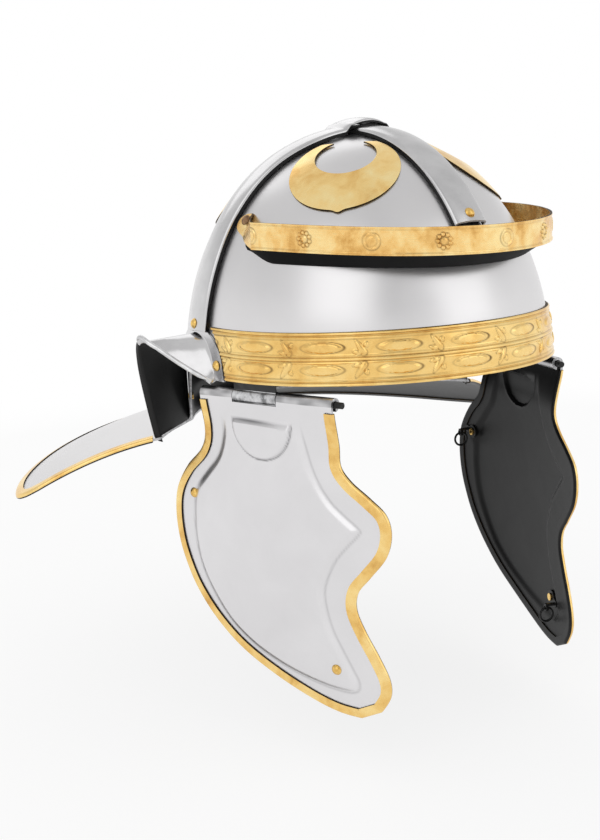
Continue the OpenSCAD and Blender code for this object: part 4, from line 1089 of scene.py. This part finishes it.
HALF_WIDTH, CHEEK_LENGTH, CHEEK_BULGE, CHEEK_INSET = 44.0, 167.5, 5.0, 3.56
KNUCKLE_RADIUS, PIN_RADIUS = 3.7, 1.7
MIDDLE_KNUCKLE_AT, MIDDLE_KNUCKLE, KNUCKLE_GAP, SLOT_DEPTH = -6.0, 29.0, 0.4, 4.4
OUTLINE_PACE = 1.65
HINGE_BACK, HINGE_INSET, HINGE_DEPTH, HINGE_TURN = 33.0, 4.0, 7.7, 16.7
HINGE_MIDDLE = np.array([-(BOWL_B * math.sqrt(1 - (HINGE_BACK / BOWL_A) ** 2) - HINGE_INSET),
                         -HINGE_BACK, -HINGE_DEPTH])
# The plate's side edges, as shares of the half width and of the length
REAR_OUTLINE = [[-0.99, 0], [-1.0, 0.11], [-1.1, 0.192], [-1.39, 0.264], [-1.6, 0.345], [-1.66, 0.43],
                [-1.62, 0.525], [-1.5, 0.61], [-1.32, 0.69], [-1.02, 0.775], [-0.6, 0.855],
                [-0.07, 0.92], [0.48, 0.972], [0.86, 0.997], [1.16, 1.002]]
FRONT_OUTLINE = [[1.01, 0], [1.0, 0.12], [1.0, 0.19], [1.14, 0.238], [1.38, 0.284], [1.58, 0.33],
                 [1.64, 0.39], [1.57, 0.46], [1.36, 0.53], [1.19, 0.585], [1.16, 0.645], [1.27, 0.715],
                 [1.43, 0.79], [1.55, 0.86], [1.55, 0.915], [1.43, 0.968]]
# The raised field, in millimetres, from its upper rear round the tip to its upper front
FIELD_RISE, FIELD_SLOPE = 1.8, 4.2
FIELD_OUTLINE = [(-30, -4), (-30.2, -16), (-31.5, -24), (-36, -35), (-45, -44.8), (-52.5, -53),
                 (-56, -61), (-57.3, -71.5), (-57.4, -82), (-55, -96), (-49.4, -108.5), (-40, -121.5),
                 (-30.3, -131), (-16.4, -139.6), (-0.9, -146), (14.1, -150.4), (31.5, -153.8),
                 (44.4, -154.6), (50, -152.8), (51, -148), (47.6, -141), (42.1, -131), (37.4, -122),
                 (34.2, -111.6), (33, -101), (35.5, -92), (40.7, -82), (48, -73.4), (54.6, -66.4),
                 (54.6, -63.8), (47, -58.2), (38.8, -51.5), (31.9, -42.5), (26.6, -31.2),
                 (23.4, -18.2), (22.2, -4)]
BOSS_AT, BOSS_RADIUS, BOSS_RISE = (-3.0, -13.5), 19.0, 1.7
EDGING_START = 0.018
REAR_CELLS, NOTCH_CELLS, FRONT_CELLS, NOTCH_ROWS, PLATE_ROWS = 33, 43, 51, 7, 190
KNUCKLE_ROWS, KNUCKLE_COLUMNS = 44, 12
KNUCKLE_FROM, KNUCKLE_TO = -30, 262

field_line = np.array([along(FIELD_OUTLINE, t) for t in np.linspace(0, 1, 260)])


def inside_distance(p, line):
    """Distance of points inside a closed line from it, negative outside."""
    a, b = line, np.roll(line, -1, 0)
    ab = b - a
    rel = p[:, None] - a[None]
    t = np.clip((rel * ab).sum(-1) / np.maximum((ab * ab).sum(-1), 1e-9), 0, 1)
    distance = np.sqrt(((rel - ab * t[..., None]) ** 2).sum(-1)).min(1)
    crossing = (a[None, :, 1] > p[:, None, 1]) != (b[None, :, 1] > p[:, None, 1])
    step = np.where(np.abs(ab[:, 1]) < 1e-9, 1e-9, ab[:, 1])
    at = a[:, 0] + (p[:, None, 1] - a[None, :, 1]) * ab[:, 0] / step
    inside = (crossing & (p[:, None, 0] < at)).sum(1) % 2 == 1
    return np.where(inside, distance, -distance)


def cheek_face(p):
    """How far out the plate's face stands, bulging from the knuckle's level to the middle."""
    settle = ease(-p[..., 1] / 30)
    across, down = p[..., 0] / (1.6 * HALF_WIDTH), (p[..., 1] + CHEEK_LENGTH / 2) / (CHEEK_LENGTH / 2)
    bulge = CHEEK_BULGE * (0.35 - across ** 2 - 0.5 * down ** 2)
    return KNUCKLE_RADIUS - 0.2 + settle * (bulge - CHEEK_INSET)


def cheek_relief(p):
    """Height of the raised field and of the half-round boss below the hinge, and painted shade as dark
    lines along their outlines.
    """
    deep = inside_distance(p, field_line)
    fade = ease((-p[:, 1] - 10) / 14)
    relief = FIELD_RISE * ease((deep + 0.6) / FIELD_SLOPE) * fade
    x, z = p[:, 0] - BOSS_AT[0], p[:, 1] - BOSS_AT[1]
    bulge = np.minimum(BOSS_RADIUS - np.hypot(x, z), -z)
    relief = (relief + (BOSS_RISE * ease((bulge + 0.6) / 1.3))
              - 0.35 * np.exp(-((bulge + 1.0) / 0.5) ** 2))
    # Painted shade: a dark line round the boss's outline and a fainter one along the field's edge
    patina_and_shade = (0.8 * np.exp(-((bulge + 0.75) / 0.38) ** 2)
              + 0.3 * fade * np.exp(-((deep + 0.5) / 0.6) ** 2))
    return relief, patina_and_shade


NOTCH_FROM = MIDDLE_KNUCKLE_AT - MIDDLE_KNUCKLE / 2 - KNUCKLE_GAP
NOTCH_TO = MIDDLE_KNUCKLE_AT + MIDDLE_KNUCKLE / 2 + KNUCKLE_GAP
TOP_REAR, TOP_FRONT = -0.99 * HALF_WIDTH, 1.01 * HALF_WIDTH


def cheek_sheet():
    top_edge = (TOP_REAR, NOTCH_FROM, NOTCH_TO, TOP_FRONT)
    marks = [(x - TOP_REAR) / (TOP_FRONT - TOP_REAR) for x in top_edge]
    shares = np.concatenate([np.linspace(marks[0], marks[1], REAR_CELLS + 1)[:-1],
                             np.linspace(marks[1], marks[2], NOTCH_CELLS + 1)[:-1],
                             np.linspace(marks[2], marks[3], FRONT_CELLS + 1)])
    slot_share = SLOT_DEPTH / CHEEK_LENGTH / OUTLINE_PACE
    rows = np.concatenate([np.linspace(0, slot_share, NOTCH_ROWS + 1)[:-1],
                           np.linspace(slot_share, 1, PLATE_ROWS)])
    flat = []
    for t in rows:
        rear, front = along(REAR_OUTLINE, t), along(FRONT_OUTLINE, t)
        ends = [np.array([q[0] * HALF_WIDTH, -q[1] * CHEEK_LENGTH]) for q in (rear, front)]
        flat.append([lerp(ends[0], ends[1], s) for s in shares])
    flat = np.array(flat)
    level = flat.reshape(-1, 2)
    relief, patina_and_shade = cheek_relief(level)
    y = (cheek_face(level) + relief).reshape(flat.shape[:2])
    y += 0.06 * np.array([ripple((q[0], q[1], 0), 22, 0.7) for q in level]).reshape(y.shape)
    face = np.stack([flat[..., 0], y, flat[..., 1]], -1)
    back = face - np.array([0, STEEL, 0])
    keep = np.ones((len(rows) - 1, len(shares) - 1), bool)
    keep[:NOTCH_ROWS, REAR_CELLS:REAR_CELLS + NOTCH_CELLS] = False
    return Shape().sheet(face, back, keep=keep, patina_and_shade=patina_and_shade)


def knuckle(start, end):
    """Sheet rolled round the pin, from the outer face over the top to a seam at the back."""
    angles = np.radians(np.linspace(KNUCKLE_FROM, KNUCKLE_TO, KNUCKLE_ROWS))
    xs = np.linspace(start, end, KNUCKLE_COLUMNS)

    def roll(radius):
        return [[[x, math.cos(a) * radius, math.sin(a) * radius] for x in xs] for a in angles]

    return roll(KNUCKLE_RADIUS - 0.1), roll(PIN_RADIUS + 0.3)


def knuckle_darkening(start, end):
    """Uneven darkening of the rolled knuckle, in patches."""
    xs = np.linspace(start, end, KNUCKLE_COLUMNS)
    return [[0.45 + 0.5 * ripple((x, i * 0.7, 2), 5) for x in xs] for i in range(KNUCKLE_ROWS)]


def cheek_frame(side):
    """Middle of a hinge, the direction of its pin forward and the direction outward."""
    turn = math.radians(HINGE_TURN)
    axis = np.array([math.sin(turn), -math.cos(turn), 0])
    out = np.array([-math.cos(turn), -math.sin(turn), 0])
    flip = np.array([side, 1, 1])
    return HINGE_MIDDLE * flip, axis * flip, out * flip


def to_world(shape, side):
    middle, axis, out = cheek_frame(side)
    p = np.array(shape.points)
    moved = Shape()
    up = np.array([0, 0, 1])
    moved.points = (middle + p[:, :1] * axis + p[:, 1:2] * out + p[:, 2:] * up).tolist()
    moved.faces, moved.slots, moved.patina_and_shade = shape.faces, shape.slots, shape.patina_and_shade
    moved.grain = [[b, a] for a, b in shape.grain]
    return moved


def cheek_edging():
    rear = [along(REAR_OUTLINE, t) for t in np.linspace(EDGING_START, 1, 154)]
    front = [along(FRONT_OUTLINE, t) for t in np.linspace(1, EDGING_START, 166)]
    flat = np.array([[q[0] * HALF_WIDTH, -q[1] * CHEEK_LENGTH] for q in rear + front])
    flat = spread(flat, 420)
    course = unit(np.gradient(flat, axis=0))
    side = np.stack([-course[:, 1], course[:, 0]], -1)
    edge = np.stack([flat[:, 0], cheek_face(flat), flat[:, 1]], -1)
    inward = np.stack([side[:, 0], np.zeros(len(flat)), side[:, 1]], -1)
    reach = flat + side * EDGING_COVER
    drift = np.stack([np.zeros(len(flat)), cheek_face(reach) - cheek_face(flat), np.zeros(len(flat))],
                     -1)
    return edge_channel(edge, inward, np.tile([0, 1.0, 0], (len(flat), 1)), STEEL, drift)


cheek_shape = cheek_sheet()
for ends in ((TOP_REAR, NOTCH_FROM), (NOTCH_TO, TOP_FRONT)):
    cheek_shape.sheet(*knuckle(*ends), slots=(0, 1, 2), patina_and_shade=knuckle_darkening(*ends))
edging_shape = cheek_edging()
for side, side_name in SIDE_NAMES.items():
    body = f"cheek_{side_name}"
    make(f"cheek_plate_{side_name}", to_world(cheek_shape, side), [cheek_steel, black_paint, edge_steel],
         body, [f"cheek_guard_{side_name}"])
    make(f"cheek_edging_fold_{side_name}", to_world(edging_shape, side),
         [trim_brass, painted_edge_shade, black_paint], body, [f"cheek_edging_{side_name}"], edge=0.12)

# Finishes of the nodes that keep their own solids

NODE_FINISHES = {
    "band_rivets": rivet_brass, "ear_guard_rivets": rivet_brass, "brow_guard_rivets": old_brass,
    "hinge_plate_rivets": hinge_steel,
}
for side_name in SIDE_NAMES.values():
    NODE_FINISHES[f"cheek_rivets_{side_name}"] = rivet_brass
    NODE_FINISHES[f"hinge_plate_{side_name}"] = hinge_steel
    NODE_FINISHES[f"hinge_pin_{side_name}"] = black_iron
    for place in ("upper", "lower"):
        NODE_FINISHES[f"tie_clip_{place}_{side_name}"] = black_iron
        NODE_FINISHES[f"tie_ring_{place}_{side_name}"] = black_iron
for name, material in NODE_FINISHES.items():
    for slot in frame["nodes"][name].material_slots:
        slot.material = material

# Floor, light and camera

FLOOR_LEVEL, FLOOR_RADIUS, FLOOR_CORNERS = -0.205, 8, 64
FLOOR_GREY, FLOOR_WHITE = (0.94, 0.94, 0.94, 1), (1, 1, 1, 1)
FADE_FROM, FADE_TO, FLOOR_SHARE_SEEN = 0.35, 1.1, 0.8
# The room's level by height, a dim gap high up ahead and to the right of the brow, and dim strips
SKY_LEVELS = [(0.0, 1.0), (0.25, 1.0), (0.5, 0.96), (0.75, 0.95), (1.0, 0.95)]
GAP_DIRECTION, GAP_EDGE, GAP_CORE = (-0.539, -0.842, 0), 0.26, 0.03
GAP_DEPTH, STRIP_DEPTH, STRIP_SCALE = 0.28, 0.36, 4.5
DIM_FROM, DIM_FULL = 0.12, 0.4


def floor():
    """Pale floor that keeps the object's shadow, and whitens far off and to the eye."""
    mesh = bpy.data.meshes.new("studio_floor")
    turns = np.linspace(0, 2 * math.pi, FLOOR_CORNERS + 1)[:-1]
    ring = [(FLOOR_RADIUS * math.cos(a), FLOOR_RADIUS * math.sin(a), FLOOR_LEVEL) for a in turns]
    mesh.from_pydata(ring, [], [tuple(range(FLOOR_CORNERS))])
    ob = bpy.data.objects.new("studio_floor", mesh)
    bpy.context.scene.collection.objects.link(ob)
    material = bpy.data.materials.new("pale_floor")
    material.use_nodes = True
    tree = material.node_tree
    tree.nodes.remove(tree.nodes["Principled BSDF"])
    place = node(tree, "ShaderNodeTexCoord")
    reach = node(tree, "ShaderNodeVectorMath", {"operation": "LENGTH"})
    tree.links.new(place.outputs["Object"], reach.inputs[0])
    fade = node(tree, "ShaderNodeMapRange", {"interpolation_type": "SMOOTHSTEP"},
                From_Min=FADE_FROM, From_Max=FADE_TO)
    tree.links.new(reach.outputs["Value"], fade.inputs[0])
    near = node(tree, "ShaderNodeBsdfDiffuse", Color=FLOOR_GREY)
    far = node(tree, "ShaderNodeEmission", Color=FLOOR_WHITE, Strength=1.0)
    rays = node(tree, "ShaderNodeLightPath")
    mirrored = math_node(tree, "ADD", rays.outputs["Is Glossy Ray"], rays.outputs["Is Transmission Ray"])
    seen = math_node(tree, "ADD", rays.outputs["Is Camera Ray"], mirrored, clamp=True)
    white = math_node(tree, "MAXIMUM", fade.outputs[0],
                      math_node(tree, "MULTIPLY", seen, FLOOR_SHARE_SEEN))
    mix = node(tree, "ShaderNodeMixShader")
    tree.links.new(white, mix.inputs[0])
    tree.links.new(near.outputs[0], mix.inputs[1])
    tree.links.new(far.outputs[0], mix.inputs[2])
    tree.links.new(mix.outputs[0], tree.nodes["Material Output"].inputs[0])
    mesh.materials.append(material)


def world():
    """A white room, a little greyer overhead, with a dim gap and strips of uneven light high up."""
    made = bpy.data.worlds.new("studio")
    bpy.context.scene.world = made
    made.use_nodes = True
    tree = made.node_tree
    sky = tree.nodes["Background"]
    place = node(tree, "ShaderNodeTexCoord")
    split = node(tree, "ShaderNodeSeparateXYZ")
    tree.links.new(place.outputs["Generated"], split.inputs[0])
    ramp = tree.nodes.new("ShaderNodeValToRGB")
    ramp.color_ramp.elements[0].position = SKY_LEVELS[0][0]
    ramp.color_ramp.elements[1].position = SKY_LEVELS[-1][0]
    for at, _ in SKY_LEVELS[1:-1]:
        ramp.color_ramp.elements.new(at)
    for element, (_, value) in zip(ramp.color_ramp.elements, SKY_LEVELS):
        element.color = (value, value, value, 1)
    tree.links.new(split.outputs[2], ramp.inputs[0])
    ahead = node(tree, "ShaderNodeVectorMath", {"operation": "DOT_PRODUCT"})
    ahead.inputs[1].default_value = GAP_DIRECTION
    aside = node(tree, "ShaderNodeVectorMath", {"operation": "DOT_PRODUCT"})
    aside.inputs[1].default_value = (-GAP_DIRECTION[1], GAP_DIRECTION[0], 0)
    for made_node in (ahead, aside):
        tree.links.new(place.outputs["Generated"], made_node.inputs[0])
    bearing = math_node(tree, "ARCTAN2", aside.outputs["Value"], ahead.outputs["Value"])
    high = node(tree, "ShaderNodeMapRange", {"interpolation_type": "SMOOTHSTEP"},
                From_Min=DIM_FROM, From_Max=DIM_FULL)
    tree.links.new(split.outputs[2], high.inputs[0])
    gap = node(tree, "ShaderNodeMapRange", {"interpolation_type": "SMOOTHSTEP"},
               From_Min=GAP_EDGE, From_Max=GAP_CORE)
    tree.links.new(math_node(tree, "ABSOLUTE", bearing), gap.inputs[0])
    strips = node(tree, "ShaderNodeTexNoise", {"noise_dimensions": "1D"}, Scale=STRIP_SCALE, Detail=3.0)
    tree.links.new(bearing, strips.inputs["W"])
    dim = math_node(tree, "MULTIPLY_ADD", gap.outputs[0], GAP_DEPTH,
                    math_node(tree, "MULTIPLY", strips.outputs[0], STRIP_DEPTH))
    level = math_node(tree, "SUBTRACT", 1.0, math_node(tree, "MULTIPLY", dim, high.outputs[0]))
    shaded = node(tree, "ShaderNodeVectorMath", {"operation": "SCALE"})
    tree.links.new(ramp.outputs[0], shaded.inputs[0])
    tree.links.new(level, shaded.inputs["Scale"])
    tree.links.new(shaded.outputs[0], sky.inputs[0])
    sky.inputs[1].default_value = 1.0


def softbox(name, place, width, height, power):
    """Soft lamp that faces the helmet's middle."""
    data = bpy.data.lights.new(name, "AREA")
    data.shape, data.size, data.size_y, data.energy = "RECTANGLE", width, height, power
    ob = bpy.data.objects.new(name, data)
    bpy.context.scene.collection.objects.link(ob)
    ob.location = place
    ob.rotation_euler = (-Vector(place)).to_track_quat("-Z", "Y").to_euler()


def camera():
    data = bpy.data.cameras.new("camera")
    ob = bpy.data.objects.new("camera", data)
    bpy.context.scene.collection.objects.link(ob)
    data.sensor_fit = "VERTICAL"
    data.sensor_height = SENSOR_HEIGHT
    data.lens = FOCAL_PIXELS * data.sensor_height / PHOTO_HEIGHT
    data.clip_start, data.clip_end = 0.05, 50
    rows = np.array([CAMERA_RIGHT, CAMERA_UP, -np.array(CAMERA_AIM)])
    turn = Matrix(rows.T.tolist()).to_4x4()
    ob.matrix_world = Matrix.Translation(Vector(CAMERA_PLACE) * MM) @ turn
    bpy.context.scene.camera = ob


# The camera stands as the photograph's did, in millimetres
PHOTO_HEIGHT, SENSOR_HEIGHT = 840, 36.0
FOCAL_PIXELS = 1260.56
CAMERA_PLACE = (-451.86, -570.83, 116.25)
CAMERA_AIM = (0.56445, 0.799199, -0.206584)
CAMERA_RIGHT = (0.810632, -0.5839, -0.044005)
CAMERA_UP = (0.155793, 0.142625, 0.977439)

floor()
world()
softbox("key_softbox", (-1.9, -0.9, 1.5), 1.9, 1.9, 7)
softbox("fill_softbox", (0.9, -2.1, 1.3), 1.8, 1.9, 6)
softbox("back_softbox", (0.5, 1.8, 1.4), 1.8, 1.2, 4)
camera()
bpy.context.scene.view_settings.view_transform = "Standard"
